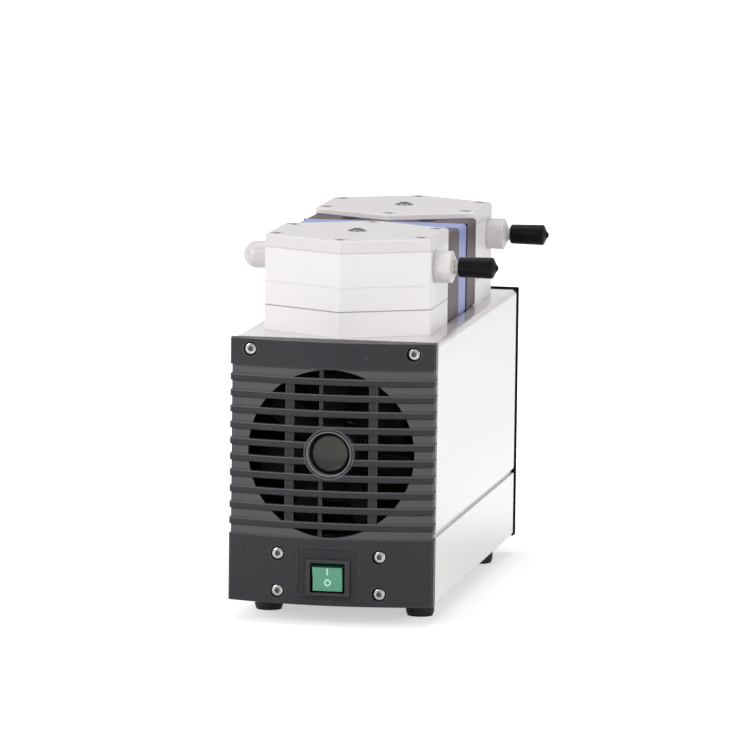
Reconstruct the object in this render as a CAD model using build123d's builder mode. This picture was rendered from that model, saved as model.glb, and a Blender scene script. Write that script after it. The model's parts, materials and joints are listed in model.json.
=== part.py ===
"""Two-head diaphragm vacuum pump for chemical vapours.

A motor lies along Y inside a sheet housing, with a fan behind the front grille. Each end of its shaft
carries an eccentric, a connecting rod and a diaphragm, which work in a hexagonal head on the cover.
"""
from build123d import *
import os
from math import cos, radians, sin, sqrt

os.makedirs("parts", exist_ok=True)

# Driving dimensions, millimetres. X is the width, -Y the front, Z up from the feet.
width = 142.0
length = 340.0
foot_height = 14.0
panel_height = 180.4
sheet = 1.5

# Front panel: a moulding bowed forwards in plan
bow = 11.0
front_end_y = -length / 2
front_depth = 8.4
panel_wall = 3.5
band_height = 18.2
grille_height = 116.2
bar_count = 10
recess_height = 6.5
recess_depth = 1.2
opening_radius = 57.5
hub_ring_radius = 17.4
hub_ring_wall = 2.7

# Rear panel: a flat moulding with the same bands
rear_depth = 12.8

# Housing
joint_height = 47.0
joint_gap = 1.0

# Shaft and running gear
shaft_radius = 6.0
throw = 3.0
big_end_radius = 12.0
rod_half_width = 8.0

# Heads: regular hexagons with a corner forwards
head_flats = 115.8
head_y = {"front": -86.7, "rear": 90.0}
base_thickness = 17.6
valve_plate_thickness = 16.4
port_block_thickness = 23.6
top_plate_thickness = 9.0
screw_circle = 58.0
chamber_radius = 43.0

# Ports
port_height = 45.8
right_port_offset = {"front": -18.0, "rear": 18.0}
left_port_offset = {"front": 18.0}
valve_x = 18.0

# Bridge between the heads
bridge_height = 62.2
bridge_cuts_y = [-11.3, 17.1, 19.5]

# Levels and places that follow
panel_bottom = foot_height
panel_top = foot_height + panel_height
cover_top = panel_top - 0.4
front_back_y = front_end_y + front_depth
rear_end_y = length / 2
rear_front_y = rear_end_y - rear_depth
joint_z = foot_height + joint_height
shaft_z = foot_height + panel_height - band_height - grille_height / 2
grille_bottom = panel_top - band_height - grille_height
bar_height = (grille_height - (bar_count + 1) * recess_height) / bar_count
bar_pitch = bar_height + recess_height
base_top = cover_top + base_thickness
valve_plate_top = base_top + valve_plate_thickness
port_block_top = valve_plate_top + port_block_thickness
head_top = port_block_top + top_plate_thickness
port_z = cover_top + port_height
bow_radius = ((width / 2) ** 2 + bow**2) / (2 * bow)
panel_screw_places = [(sx * x, z) for x, z in ((56.3, 187.3), (35.2, 48.3), (35.2, 22.7)) for sx in (-1, 1)]
foot_places = [(sx * 53.0, sy * 118.0) for sy in (-1, 1) for sx in (-1, 1)]
foot_names = ["foot_front_left", "foot_front_right", "foot_rear_left", "foot_rear_right"]


def save(piece, name):
    """Label a finished piece and write it to its own file."""
    piece.part.label = name
    export_step(piece.part, f"parts/{name}.step")


def facing_front(x, y, z):
    """Plane at a point, with its normal towards the front."""
    return Plane(origin=(x, y, z), x_dir=(1, 0, 0), z_dir=(0, -1, 0))


def facing_rear(x, y, z):
    """Plane at a point, with its normal towards the rear, local x towards -X and local y upwards."""
    return Plane(origin=(x, y, z), x_dir=(-1, 0, 0), z_dir=(0, 1, 0))


def facing_down(x, y, z):
    """Plane at a point, with its normal downwards."""
    return Plane(origin=(x, y, z), x_dir=(1, 0, 0), z_dir=(0, 0, -1))


def facing_right(x, y, z):
    """Plane at a point, with its normal towards +X."""
    return Plane(origin=(x, y, z), x_dir=(0, 1, 0), z_dir=(1, 0, 0))


def bow_y(x):
    """Front face of the front panel at a distance x from the middle."""
    return front_end_y - bow + bow_radius - sqrt(bow_radius**2 - x**2)


def bowed_plan(inset):
    """Plan of the front panel: an arc in front and square behind, moved inwards by inset."""
    half = width / 2 - inset
    with BuildSketch() as plan:
        with BuildLine():
            arc = ThreePointArc(
                (-half, front_end_y + inset), (0, front_end_y - bow + inset), (half, front_end_y + inset)
            )
            Polyline(arc @ 1, (half, front_back_y), (-half, front_back_y), arc @ 0)
        make_face()
    return plan.sketch


def crankcase_bolts(centre_y):
    """Places of the four screws under one crankcase."""
    return [(sx * 36, centre_y + sy * 20) for sx in (-1, 1) for sy in (-1, 1)]


def hexagon(flats, corner=0.0):
    """Hexagon with a corner towards -Y and the corners rounded."""
    with BuildSketch() as outline:
        RegularPolygon(flats / 2, 6, major_radius=False, rotation=30)
        if corner:
            fillet(outline.vertices(), corner)
    return outline.sketch


# ---------------------------------------------------------------- housing

pad_y = front_end_y - 9.2
recess_levels = [grille_bottom + i * bar_pitch for i in range(bar_count + 1)]
bar_levels = [level + recess_height + bar_height / 2 for level in recess_levels[:-1]]

with BuildPart() as front_panel:
    with BuildSketch(Plane.XY.offset(panel_bottom)):
        add(bowed_plan(0))
    extrude(amount=panel_height)
    chamfer(front_panel.edges().filter_by(Axis.Z).group_by(Axis.Y)[0], 1)
    with BuildSketch(Plane.XY.offset(panel_bottom + panel_wall)):
        add(bowed_plan(panel_wall))
    extrude(amount=panel_height - 2 * panel_wall, mode=Mode.SUBTRACT)
    with BuildSketch(*[Plane.XY.offset(level) for level in recess_levels]):
        add(bowed_plan(-3))
        add(bowed_plan(recess_depth), mode=Mode.SUBTRACT)
    extrude(amount=recess_height, mode=Mode.SUBTRACT)
    # Round air opening, crossed by the bars
    with BuildSketch(facing_front(0, front_back_y, 0)):
        with Locations((0, shaft_z)):
            Circle(opening_radius)
        with Locations(*[(0, level) for level in bar_levels]):
            Rectangle(width, bar_height, mode=Mode.SUBTRACT)
    extrude(amount=40, mode=Mode.SUBTRACT)
    # Hub ring in the middle of the grille
    with BuildSketch(facing_front(0, front_end_y - bow + 7, shaft_z)):
        Circle(hub_ring_radius)
    extrude(amount=7)
    with BuildSketch(facing_front(0, front_back_y, shaft_z)):
        Circle(hub_ring_radius - hub_ring_wall)
    extrude(amount=40, mode=Mode.SUBTRACT)
    # Upright ribs behind the bars
    for rib_x, rib_width in ((-28, 6), (29.7, 6)):
        with BuildSketch(facing_front(rib_x, front_end_y - 3.5, shaft_z)):
            Rectangle(rib_width, grille_height)
        extrude(amount=3.5)
    for side in (1, -1):
        with BuildSketch(facing_front(-6.3, front_end_y - 3.5, shaft_z)):
            with Locations((0, side * (grille_height / 4 + hub_ring_radius / 2 - 0.5))):
                Rectangle(2.4, grille_height / 2 - hub_ring_radius + 1)
        extrude(amount=4)
    # Screw bosses, then the counterbored holes
    for x, z in panel_screw_places:
        with BuildSketch(facing_front(x, front_back_y, z)):
            Circle(5.5)
        extrude(amount=front_back_y - bow_y(x) - 1)
    # Flat pad with the switch cut-out
    with BuildSketch(facing_front(0, pad_y, 35.6)):
        Rectangle(42.6, 35.4)
    extrude(amount=10, mode=Mode.SUBTRACT)
    with BuildSketch(facing_front(0, front_back_y, 33)):
        Rectangle(27.6, 22.2)
    extrude(amount=40, mode=Mode.SUBTRACT)
    for x, z in panel_screw_places:
        with Locations(facing_front(x, bow_y(abs(x) + 5), z)):
            CounterBoreHole(2.25, 5, 2.6, 30)
save(front_panel, "front_panel")

rear_middle_y = (rear_front_y + rear_end_y) / 2
with BuildPart() as rear_panel:
    with BuildSketch(Plane.XY.offset(panel_bottom)):
        with Locations((0, rear_middle_y)):
            Rectangle(width, rear_depth)
    extrude(amount=panel_height)
    fillet(rear_panel.edges().filter_by(Axis.Z).group_by(Axis.Y)[-1], 3)
    with BuildSketch(Plane.XY.offset(panel_bottom + panel_wall)):
        with Locations((0, rear_front_y)):
            Rectangle(width - 2 * panel_wall, 2 * (rear_depth - panel_wall))
    extrude(amount=panel_height - 2 * panel_wall, mode=Mode.SUBTRACT)
    with BuildSketch(*[Plane.XY.offset(level) for level in recess_levels]):
        with Locations((0, rear_middle_y + 5)):
            Rectangle(width + 10, rear_depth + 10)
        with Locations((0, rear_middle_y - 5)):
            Rectangle(width - 2 * recess_depth, rear_depth + 10 - 2 * recess_depth, mode=Mode.SUBTRACT)
    extrude(amount=recess_height, mode=Mode.SUBTRACT)
    # Air outlet slots between the bars, in three columns
    with BuildSketch(facing_rear(0, rear_end_y - 20, 0)):
        with Locations(*[(x, level + recess_height / 2) for x in (-34, 0, 34) for level in recess_levels[1:-1]]):
            Rectangle(30, recess_height)
    extrude(amount=40, mode=Mode.SUBTRACT)
    for x, z in panel_screw_places:
        with BuildSketch(facing_rear(x, rear_front_y, z)):
            Circle(5.5)
        extrude(amount=rear_depth - 1)
    # Cut-out for the mains inlet
    with BuildSketch(facing_rear(0, rear_end_y - 20, 36)):
        Rectangle(28, 38)
    extrude(amount=40, mode=Mode.SUBTRACT)
    for x, z in panel_screw_places:
        with Locations(facing_rear(x, rear_end_y, z)):
            CounterBoreHole(2.25, 5, 2.6, 30)
save(rear_panel, "rear_panel")

cover_length = rear_front_y - front_back_y
cover_middle_y = (rear_front_y + front_back_y) / 2
with BuildPart() as housing_cover:
    with BuildSketch(facing_rear(0, front_back_y, 0)) as profile:
        with Locations((0, (cover_top + joint_z + joint_gap / 2) / 2)):
            Rectangle(width, cover_top - joint_z - joint_gap / 2)
        fillet(profile.vertices().group_by(Axis.Z)[-1], 3.5)
    extrude(amount=cover_length)
    with BuildSketch(facing_rear(0, front_back_y + sheet, 0)) as inside:
        with Locations((0, cover_top / 2 - sheet)):
            Rectangle(width - 2 * sheet, cover_top)
        fillet(inside.vertices().group_by(Axis.Z)[-1], 2)
    extrude(amount=cover_length - 2 * sheet, mode=Mode.SUBTRACT)
    # The end flanges stay as strips along the top and down the sides
    with BuildSketch(facing_rear(0, front_back_y, 0)):
        with Locations((0, cover_top / 2 - 14)):
            Rectangle(width - 2 * 12, cover_top)
    extrude(amount=cover_length, mode=Mode.SUBTRACT)
    for centre_y in head_y.values():
        with BuildSketch(Plane.XY.offset(cover_top - 5)):
            with Locations((0, centre_y)):
                Circle(46.3)
                with PolarLocations(screw_circle, 6, 90):
                    Circle(3.3)
        extrude(amount=10, mode=Mode.SUBTRACT)
    with BuildSketch(facing_rear(0, front_back_y - 5, 0)):
        with Locations(*panel_screw_places[:2]):
            Circle(2.05)
    extrude(amount=length + 10, mode=Mode.SUBTRACT)
save(housing_cover, "housing_cover")

with BuildPart() as base_tray:
    with BuildSketch(Plane.XY.offset(panel_bottom)):
        with Locations((0, cover_middle_y)):
            Rectangle(width, cover_length)
    extrude(amount=joint_z - joint_gap / 2 - panel_bottom)
    fillet(base_tray.edges().filter_by(Axis.Y).group_by(Axis.Z)[0], 3)
    with BuildSketch(Plane.XY.offset(panel_bottom + sheet)):
        with Locations((0, cover_middle_y)):
            Rectangle(width - 2 * sheet, cover_length - 2 * sheet)
    extrude(amount=joint_height, mode=Mode.SUBTRACT)
    # Lips that close the joint from inside
    for side in (-1, 1):
        with BuildSketch(Plane.XY.offset(joint_z - 9)):
            with Locations((side * (width / 2 - 1.5 * sheet), cover_middle_y)):
                Rectangle(sheet, cover_length - 2 * sheet - 2)
        extrude(amount=18)
    # Cut-outs in the end walls for the switch and the mains inlet
    with BuildSketch(facing_front(0, front_back_y + 5, 36)):
        Rectangle(34, 34)
    extrude(amount=10, mode=Mode.SUBTRACT)
    with BuildSketch(facing_rear(0, rear_front_y - 5, 36)):
        Rectangle(34, 40)
    extrude(amount=10, mode=Mode.SUBTRACT)
    with BuildSketch(facing_rear(0, front_back_y - 5, 0)):
        with Locations(*panel_screw_places[2:]):
            Circle(2.05)
    extrude(amount=length + 10, mode=Mode.SUBTRACT)
    # Bolt holes for the feet and the crankcases
    with BuildSketch(Plane.XY.offset(panel_bottom - 5)):
        with Locations(*foot_places):
            Circle(2.6)
        for centre_y in head_y.values():
            with Locations(*crankcase_bolts(centre_y)):
                Circle(2.6)
    extrude(amount=10, mode=Mode.SUBTRACT)
save(base_tray, "base_tray")

for foot_name, (foot_x, foot_y) in zip(foot_names, foot_places):
    with BuildPart() as foot:
        with BuildSketch(Plane.XZ):
            with BuildLine():
                Polyline((2.6, foot_height), (9.75, foot_height), (9.75, 3), (8.75, 0), (5, 0), (5, 5), (2.6, 5))
                Line((2.6, 5), (2.6, foot_height))
            make_face()
        revolve(axis=Axis.Z)
    foot.part = foot.part.moved(Pos(foot_x, foot_y, 0))
    save(foot, foot_name)

def socket_screw(head_radius, head_height, shank_radius, shank_length, socket_flats):
    """Socket-head screw with its seat at the origin and its head towards +Z."""
    with BuildPart() as screw:
        Cylinder(head_radius, head_height, align=(Align.CENTER, Align.CENTER, Align.MIN))
        chamfer(screw.edges().group_by(Axis.Z)[-1], head_radius * 0.16)
        with BuildSketch(Plane.XY.offset(head_height)):
            RegularPolygon(socket_flats / 2, 6, major_radius=False)
        extrude(amount=-head_height * 0.55, mode=Mode.SUBTRACT)
        Cylinder(shank_radius, shank_length, align=(Align.CENTER, Align.CENTER, Align.MAX))
    return screw.part


panel_screw = socket_screw(3.7, 2.6, 2.0, 14, 3)
with BuildPart() as panel_screws:
    for x, z in panel_screw_places:
        add(panel_screw.moved(facing_front(x, bow_y(abs(x) + 5) + 2.6, z).location))
        add(panel_screw.moved(facing_rear(x, rear_end_y - 2.6, z).location))
save(panel_screws, "panel_screws")

# ---------------------------------------------------------------- switch

switch_z = 33.0
pivot_y = pad_y + 2.8
with BuildPart() as switch_frame:
    with BuildSketch(facing_front(0, pad_y, switch_z)):
        Rectangle(30.8, 25.4)
    extrude(amount=2)
    chamfer(switch_frame.faces().sort_by(Axis.Y)[0].edges(), 0.7)
    with BuildSketch(facing_front(0, pad_y, switch_z)):
        Rectangle(27.2, 21.8)
    extrude(amount=-20)
    with BuildSketch(facing_front(0, pad_y, switch_z)):
        Rectangle(24.1, 20.4)
    extrude(amount=5, mode=Mode.SUBTRACT)
    with BuildSketch(facing_front(0, pad_y, switch_z)):
        Rectangle(24.1, 20.4)
    extrude(amount=-14, mode=Mode.SUBTRACT)
save(switch_frame, "switch_frame")

rocker_tilt = 9.0
with BuildPart() as switch_rocker:
    with BuildSketch(facing_right(-11.8, pivot_y, switch_z)):
        with BuildLine():
            Polyline((0, 9.2), (-5, 9.2), (-3.6, 0), (-5, -9.2), (0, -9.2))
            ThreePointArc((0, -9.2), (9.2, 0), (0, 9.2))
        make_face()
    extrude(amount=23.6)
    fillet(switch_rocker.edges().filter_by(Axis.X).group_by(Axis.Y)[0], 0.8)
rocker_axis = Axis((0, pivot_y, switch_z), (1, 0, 0))
switch_rocker.part = switch_rocker.part.rotate(rocker_axis, rocker_tilt)
save(switch_rocker, "switch_rocker")

# ---------------------------------------------------------------- mains inlet

inlet_z = 36.0
socket_z = inlet_z - 7.5
drawer_z = inlet_z + 11.0
inlet_y = rear_end_y
with BuildPart() as power_inlet:
    with BuildSketch(facing_rear(0, inlet_y, inlet_z)) as flange:
        Rectangle(31, 41)
        fillet(flange.vertices(), 2.5)
    extrude(amount=2)
    with BuildSketch(facing_rear(0, inlet_y, inlet_z)):
        Rectangle(27.6, 37.6)
    extrude(amount=-22)
    with BuildSketch(facing_rear(0, inlet_y + 2, socket_z)) as socket:
        Rectangle(24.2, 16.6)
        chamfer(socket.vertices().group_by(Axis.Z)[-1], 4)
    extrude(amount=-18, mode=Mode.SUBTRACT)
    with BuildSketch(facing_rear(0, inlet_y + 2, drawer_z)):
        Rectangle(20.4, 11.4)
    extrude(amount=-19, mode=Mode.SUBTRACT)
save(power_inlet, "power_inlet")

with BuildPart() as inlet_pins:
    for pin_x, pin_z in ((-7, -1.5), (7, -1.5), (0, 2.5)):
        with BuildSketch(facing_rear(pin_x, inlet_y - 16, socket_z + pin_z)):
            Rectangle(2, 4)
        extrude(amount=14)
save(inlet_pins, "inlet_pins")

with BuildPart() as fuse_drawer:
    with BuildSketch(facing_rear(0, inlet_y - 15, drawer_z)):
        Rectangle(20, 11)
    extrude(amount=17.4)
    with BuildSketch(facing_rear(0, inlet_y + 2.4, drawer_z)):
        Rectangle(20, 11)
    extrude(amount=1.2, taper=30)
    with BuildSketch(Plane.XY.offset(drawer_z + 6)):
        with Locations((0, inlet_y - 6)):
            Rectangle(14, 12)
    extrude(amount=-9, mode=Mode.SUBTRACT)
save(fuse_drawer, "fuse_drawer")

# ---------------------------------------------------------------- running gear

crank_half_x = 42.0
crank_half_y = 31.0
crank_wall = 8.0
bearing_radius = 14.0
stator_y = (head_y["front"] + head_y["rear"]) / 2
stator_half = 24.0


def crankcase(centre_y):
    """Cast frame under one head: legs, bearing walls, an open well for the rod and a bolting flange."""
    top = cover_top - sheet
    with BuildPart() as case:
        with BuildSketch(Plane.XY.offset(76)):
            with Locations((0, centre_y)):
                Rectangle(2 * crank_half_x, 2 * crank_half_y)
        extrude(amount=top - 76)
        fillet(case.edges().filter_by(Axis.Z), 6)
        with BuildSketch(Plane.XY.offset(top - 8)):
            with Locations((0, centre_y)):
                add(hexagon(110, 3))
        extrude(amount=8)
        with BuildSketch(Plane.XY.offset(top)):
            with Locations((0, centre_y)):
                Circle(46)
        extrude(amount=sheet)
        # Legs down to the tray, each with two pads
        with BuildSketch(Plane.XY.offset(panel_bottom + sheet)):
            for side in (-1, 1):
                with Locations((side * 36, centre_y)):
                    Rectangle(12, 2 * crank_half_y - 8)
        extrude(amount=62)
        # Well for the rod, wider under the diaphragm
        with BuildSketch(Plane.XY.offset(82)):
            with Locations((0, centre_y)):
                Rectangle(2 * (crank_half_x - 6), 2 * (crank_half_y - crank_wall))
        extrude(amount=92, mode=Mode.SUBTRACT)
        with BuildSketch(Plane.XY.offset(174)):
            with Locations((0, centre_y)):
                Circle(30)
        extrude(amount=40, taper=-16, mode=Mode.SUBTRACT)
        # Bearing seats and bolt holes
        with BuildSketch(facing_rear(0, centre_y - 40, shaft_z)):
            Circle(bearing_radius)
        extrude(amount=80, mode=Mode.SUBTRACT)
        with BuildSketch(Plane.XY.offset(top - 8)):
            with Locations((0, centre_y)):
                with PolarLocations(screw_circle, 6, 90):
                    Circle(3.05)
        extrude(amount=8, mode=Mode.SUBTRACT)
        with BuildSketch(Plane.XY.offset(panel_bottom)):
            with Locations(*crankcase_bolts(centre_y)):
                Circle(2.55)
        extrude(amount=16, mode=Mode.SUBTRACT)
    return case


def bearing(start_y):
    """Ball bearing seen as its two rings with the shield between them."""
    with BuildPart() as ring:
        with BuildSketch(facing_rear(0, start_y, shaft_z)):
            Circle(bearing_radius)
            Circle(shaft_radius + 0.05, mode=Mode.SUBTRACT)
        extrude(amount=crank_wall)
        for face_y, depth in ((start_y, 0.6), (start_y + crank_wall, -0.6)):
            with BuildSketch(facing_rear(0, face_y, shaft_z)):
                Circle(11.8)
                Circle(8.2, mode=Mode.SUBTRACT)
            extrude(amount=depth, mode=Mode.SUBTRACT)
    return ring.part


def eccentric(centre_y, lift, weight_side):
    """Eccentric hub on the shaft, with a counterweight opposite its throw."""
    with BuildPart() as hub:
        with BuildSketch(facing_rear(0, centre_y - rod_half_width, shaft_z)):
            with Locations((0, lift * throw)):
                Circle(big_end_radius)
        extrude(amount=2 * rod_half_width)
        start_y = centre_y + weight_side * (rod_half_width + 1.5)
        with BuildSketch(facing_rear(0, start_y, shaft_z)):
            with Locations((0, lift * throw)):
                Circle(big_end_radius)
        extrude(amount=-weight_side * 1.5)
        with BuildSketch(facing_rear(0, start_y, shaft_z)):
            Circle(28)
            with Locations((0, lift * 30)):
                Rectangle(70, 60, mode=Mode.SUBTRACT)
            with Locations((0, lift * throw)):
                Circle(big_end_radius)
        extrude(amount=weight_side * 7)
        with BuildSketch(facing_rear(0, centre_y - 40, shaft_z)):
            Circle(shaft_radius)
        extrude(amount=80, mode=Mode.SUBTRACT)
    return hub


def connecting_rod(centre_y, lift):
    """Rod with a round big end, a waisted I-section shank and a dished foot under the diaphragm."""
    axis_z = shaft_z + lift * throw
    foot_z = base_top + lift * throw - 7
    with BuildPart() as rod:
        with BuildSketch(facing_rear(0, centre_y - rod_half_width, 0)):
            with Locations((0, axis_z)):
                Circle(24)
            with BuildLine():
                Polyline((-17, axis_z + 8), (-7, axis_z + 40), (-7, foot_z - 12), (-14, foot_z + 1), (14, foot_z + 1))
                Polyline((14, foot_z + 1), (7, foot_z - 12), (7, axis_z + 40), (17, axis_z + 8), (-17, axis_z + 8))
            make_face()
        extrude(amount=2 * rod_half_width)
        with BuildSketch(facing_rear(0, centre_y - rod_half_width, axis_z)):
            Circle(19)
        extrude(amount=2 * rod_half_width, mode=Mode.SUBTRACT)
        # Pockets that leave the shank an I section
        for side in (-1, 1):
            with BuildSketch(facing_rear(0, centre_y + side * rod_half_width, 0)):
                with BuildLine():
                    Polyline((-7, axis_z + 28), (-3.8, axis_z + 40), (-3.8, foot_z - 12), (3.8, foot_z - 12))
                    Polyline((3.8, foot_z - 12), (3.8, axis_z + 40), (7, axis_z + 28), (-7, axis_z + 28))
                make_face()
            extrude(amount=-side * 5, mode=Mode.SUBTRACT)
        # Foot that carries the diaphragm's centre
        with BuildSketch(Plane.XY.offset(foot_z)):
            with Locations((0, centre_y)):
                Circle(20)
        extrude(amount=5)
        with BuildSketch(Plane.XY.offset(foot_z - 12)):
            with Locations((0, centre_y)):
                Circle(3.05)
        extrude(amount=20, mode=Mode.SUBTRACT)
    return rod


def rod_bearing(centre_y, lift):
    """Bearing pressed into the big end and running on the eccentric."""
    with BuildPart() as ring:
        with BuildSketch(facing_rear(0, centre_y - rod_half_width + 1, shaft_z + lift * throw)):
            Circle(19)
            Circle(big_end_radius + 0.05, mode=Mode.SUBTRACT)
        extrude(amount=2 * rod_half_width - 2)
    return ring


def diaphragm(centre_y, lift):
    """Rubber disc with a clamped rim, one rolled convolution and a thick middle, at the rod's height."""
    middle = base_top + lift * throw
    with BuildPart() as disc:
        with BuildSketch(Plane.XZ):
            with BuildLine():
                lower = Polyline((3.2, middle - 2), (20, middle - 2), (24, middle - 1.6))
                lower_roll = Polyline(lower @ 1, (29, middle - 2.6), (36, base_top - 3.0), (43, base_top - 1))
                rim = Polyline(lower_roll @ 1, (49, base_top - 1), (49, base_top + 1), (43, base_top + 1))
                upper_roll = Polyline(rim @ 1, (36, base_top - 1.0), (29, middle - 0.6), (24, middle))
                Polyline(upper_roll @ 1, (20, middle), (3.2, middle), lower @ 0)
            make_face()
        revolve(axis=Axis.Z)
    disc.part = disc.part.moved(Pos(0, centre_y, 0))
    return disc


def clamp_washer(centre_y, lift):
    """Dished disc over the diaphragm's middle with the screw into the rod."""
    middle = base_top + lift * throw
    with BuildPart() as washer:
        with BuildSketch(Plane.XZ):
            with BuildLine():
                Polyline((0, middle + 3), (12, middle + 3), (19, middle + 1), (19, middle), (3, middle))
                Polyline((3, middle), (3, middle - 16), (0, middle - 16), (0, middle + 3))
            make_face()
        revolve(axis=Axis.Z)
    washer.part = washer.part.moved(Pos(0, centre_y, 0))
    return washer


def hub_profile(steps):
    """Turned part about the shaft axis: steps are (start y, end y, radius)."""
    with BuildPart() as turned:
        for start_y, end_y, radius in steps:
            with BuildSketch(facing_rear(0, start_y, shaft_z)):
                Circle(radius)
            extrude(amount=end_y - start_y)
    return turned


lift_of = {"front": 1, "rear": -1}
fan_front_y = front_end_y + 1.0
drive_shaft = hub_profile([(fan_front_y + 3, head_y["rear"] + crank_half_y + 4, shaft_radius)])
save(drive_shaft, "drive_shaft")

with BuildPart() as rotor:
    with BuildSketch(facing_rear(0, stator_y - stator_half, shaft_z)):
        Circle(27)
    extrude(amount=2 * stator_half)
    with BuildSketch(facing_rear(0, stator_y - stator_half - 6, shaft_z)):
        Circle(25)
        Circle(17, mode=Mode.SUBTRACT)
    extrude(amount=2 * stator_half + 12)
    with BuildSketch(facing_rear(0, stator_y - stator_half - 10, shaft_z)):
        Circle(shaft_radius)
    extrude(amount=2 * stator_half + 20, mode=Mode.SUBTRACT)
save(rotor, "rotor")

with BuildPart() as motor_stator:
    with BuildSketch(facing_rear(0, stator_y - stator_half, shaft_z)):
        Circle(48)
        Circle(27.5, mode=Mode.SUBTRACT)
        with PolarLocations(36, 12):
            Circle(4.5, mode=Mode.SUBTRACT)
    extrude(amount=2 * stator_half)
save(motor_stator, "motor_stator")

with BuildPart() as stator_windings:
    with BuildSketch(facing_rear(0, stator_y - stator_half - 14, shaft_z)):
        with PolarLocations(36, 12):
            Circle(4.4)
    extrude(amount=2 * stator_half + 28)
    for start_y in (stator_y - stator_half - 14, stator_y + stator_half):
        with BuildSketch(facing_rear(0, start_y, shaft_z)):
            Circle(42)
            Circle(29.5, mode=Mode.SUBTRACT)
        extrude(amount=14)
save(stator_windings, "stator_windings")

for end, direction in (("front", 1), ("rear", -1)):
    case_face_y = head_y[end] + direction * crank_half_y
    stator_face_y = stator_y - direction * stator_half
    cup_length = abs(stator_face_y - case_face_y) - 8
    with BuildPart() as end_shield:
        with BuildSketch(facing_rear(0, case_face_y, shaft_z)):
            Circle(22)
        extrude(amount=direction * 9)
        with BuildSketch(facing_rear(0, case_face_y + direction * 8, shaft_z)):
            Circle(48)
        extrude(amount=direction * cup_length)
        with BuildSketch(facing_rear(0, case_face_y + direction * 13, shaft_z)):
            Circle(44)
        extrude(amount=direction * (cup_length - 5), mode=Mode.SUBTRACT)
        with BuildSketch(facing_rear(0, case_face_y - direction * 5, shaft_z)):
            Circle(bearing_radius)
        extrude(amount=direction * 30, mode=Mode.SUBTRACT)
        # Air slots round the shield
        with BuildSketch(facing_rear(0, case_face_y + direction * 5, shaft_z)):
            with PolarLocations(33, 6):
                SlotOverall(18, 8, rotation=90)
        extrude(amount=direction * 12, mode=Mode.SUBTRACT)
    save(end_shield, f"end_shield_{end}")

with BuildPart() as shaft_bearings:
    for centre_y in head_y.values():
        add(bearing(centre_y - crank_half_y))
        add(bearing(centre_y + crank_half_y - crank_wall))
save(shaft_bearings, "shaft_bearings")

for end, centre_y in head_y.items():
    save(crankcase(centre_y), f"crankcase_{end}")
    save(eccentric(centre_y, lift_of[end], lift_of[end]), f"eccentric_{end}")
    save(connecting_rod(centre_y, lift_of[end]), f"connecting_rod_{end}")
    save(rod_bearing(centre_y, lift_of[end]), f"rod_bearing_{end}")
    save(diaphragm(centre_y, lift_of[end]), f"diaphragm_{end}")
    save(clamp_washer(centre_y, lift_of[end]), f"diaphragm_clamp_{end}")

# Screws from below: one up through each foot, four into the legs of each crankcase
foot_screw = socket_screw(4.2, 3, 2.5, 16, 3)
crankcase_screw = socket_screw(4.2, 2.5, 2.5, 14, 3)
with BuildPart() as base_screws:
    for x, y in foot_places:
        add(foot_screw.moved(facing_down(x, y, 5).location))
    for centre_y in head_y.values():
        for x, y in crankcase_bolts(centre_y):
            add(crankcase_screw.moved(facing_down(x, y, panel_bottom).location))
save(base_screws, "base_screws")

# Fan: seven twisted blades on a cup hub
blade_count = 7
fan_radius = 53.0
fan_depth = 18.0
with BuildPart() as blade:
    fan_middle_y = fan_front_y + fan_depth / 2 + 1
    for radius, chord, pitch in ((17, 19, 52), (fan_radius, 24, 34)):
        with BuildSketch(Plane(origin=(0, fan_middle_y, radius), x_dir=(1, 0, 0), z_dir=(0, 0, 1))):
            with BuildLine():
                along = Vector(cos(radians(pitch)), sin(radians(pitch)))
                across = Vector(-sin(radians(pitch)), cos(radians(pitch)))
                camber = [(-0.5, 0), (-0.2, 2.6), (0.2, 2.6), (0.5, 0), (0.2, 1.0), (-0.2, 1.0)]
                Polyline(*[along * (chord * part) + across * rise for part, rise in camber], close=True)
            make_face()
    loft(ruled=True)
fan_spin = Axis((0, 0, 0), (0, 1, 0))
with BuildPart() as cooling_fan:
    with BuildSketch(facing_rear(0, fan_front_y + 2, 0)):
        Circle(19)
    extrude(amount=fan_depth)
    chamfer(cooling_fan.edges().group_by(Axis.Y)[0], 1.5)
    with BuildSketch(facing_rear(0, fan_front_y + 5, 0)):
        Circle(16.5)
        Circle(9, mode=Mode.SUBTRACT)
    extrude(amount=fan_depth, mode=Mode.SUBTRACT)
    for i in range(blade_count):
        add(blade.part.rotate(fan_spin, i * 360 / blade_count))
    with BuildSketch(facing_rear(0, fan_front_y + 3, 0)):
        Circle(shaft_radius)
    extrude(amount=fan_depth, mode=Mode.SUBTRACT)
cooling_fan.part = cooling_fan.part.moved(Pos(0, 0, shaft_z))
save(cooling_fan, "cooling_fan")

with BuildPart() as run_capacitor:
    with BuildSketch(facing_rear(52, stator_y - 30, 34)):
        Circle(15)
    extrude(amount=60)
    chamfer(run_capacitor.edges(), 1.5)
save(run_capacitor, "run_capacitor")

# ---------------------------------------------------------------- heads

head_screw_seat = head_top - 3.2
centre_seat = 2.6
tube_x = -14.0
tube_z = valve_plate_top + 6.0
tube_bore = 4.1
tube_ends_y = {"front": head_y["front"] + 45.0, "rear": head_y["rear"] - 45.0}


def head_layer(centre_y, bottom, thickness):
    """Hexagonal plate of a head with the six screw holes."""
    with BuildPart() as layer:
        with BuildSketch(Plane.XY.offset(bottom)):
            with Locations((0, centre_y)):
                add(hexagon(head_flats, 1.5))
                with PolarLocations(screw_circle, 6, 90):
                    Circle(3.2, mode=Mode.SUBTRACT)
        extrude(amount=thickness)
    return layer.part


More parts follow.
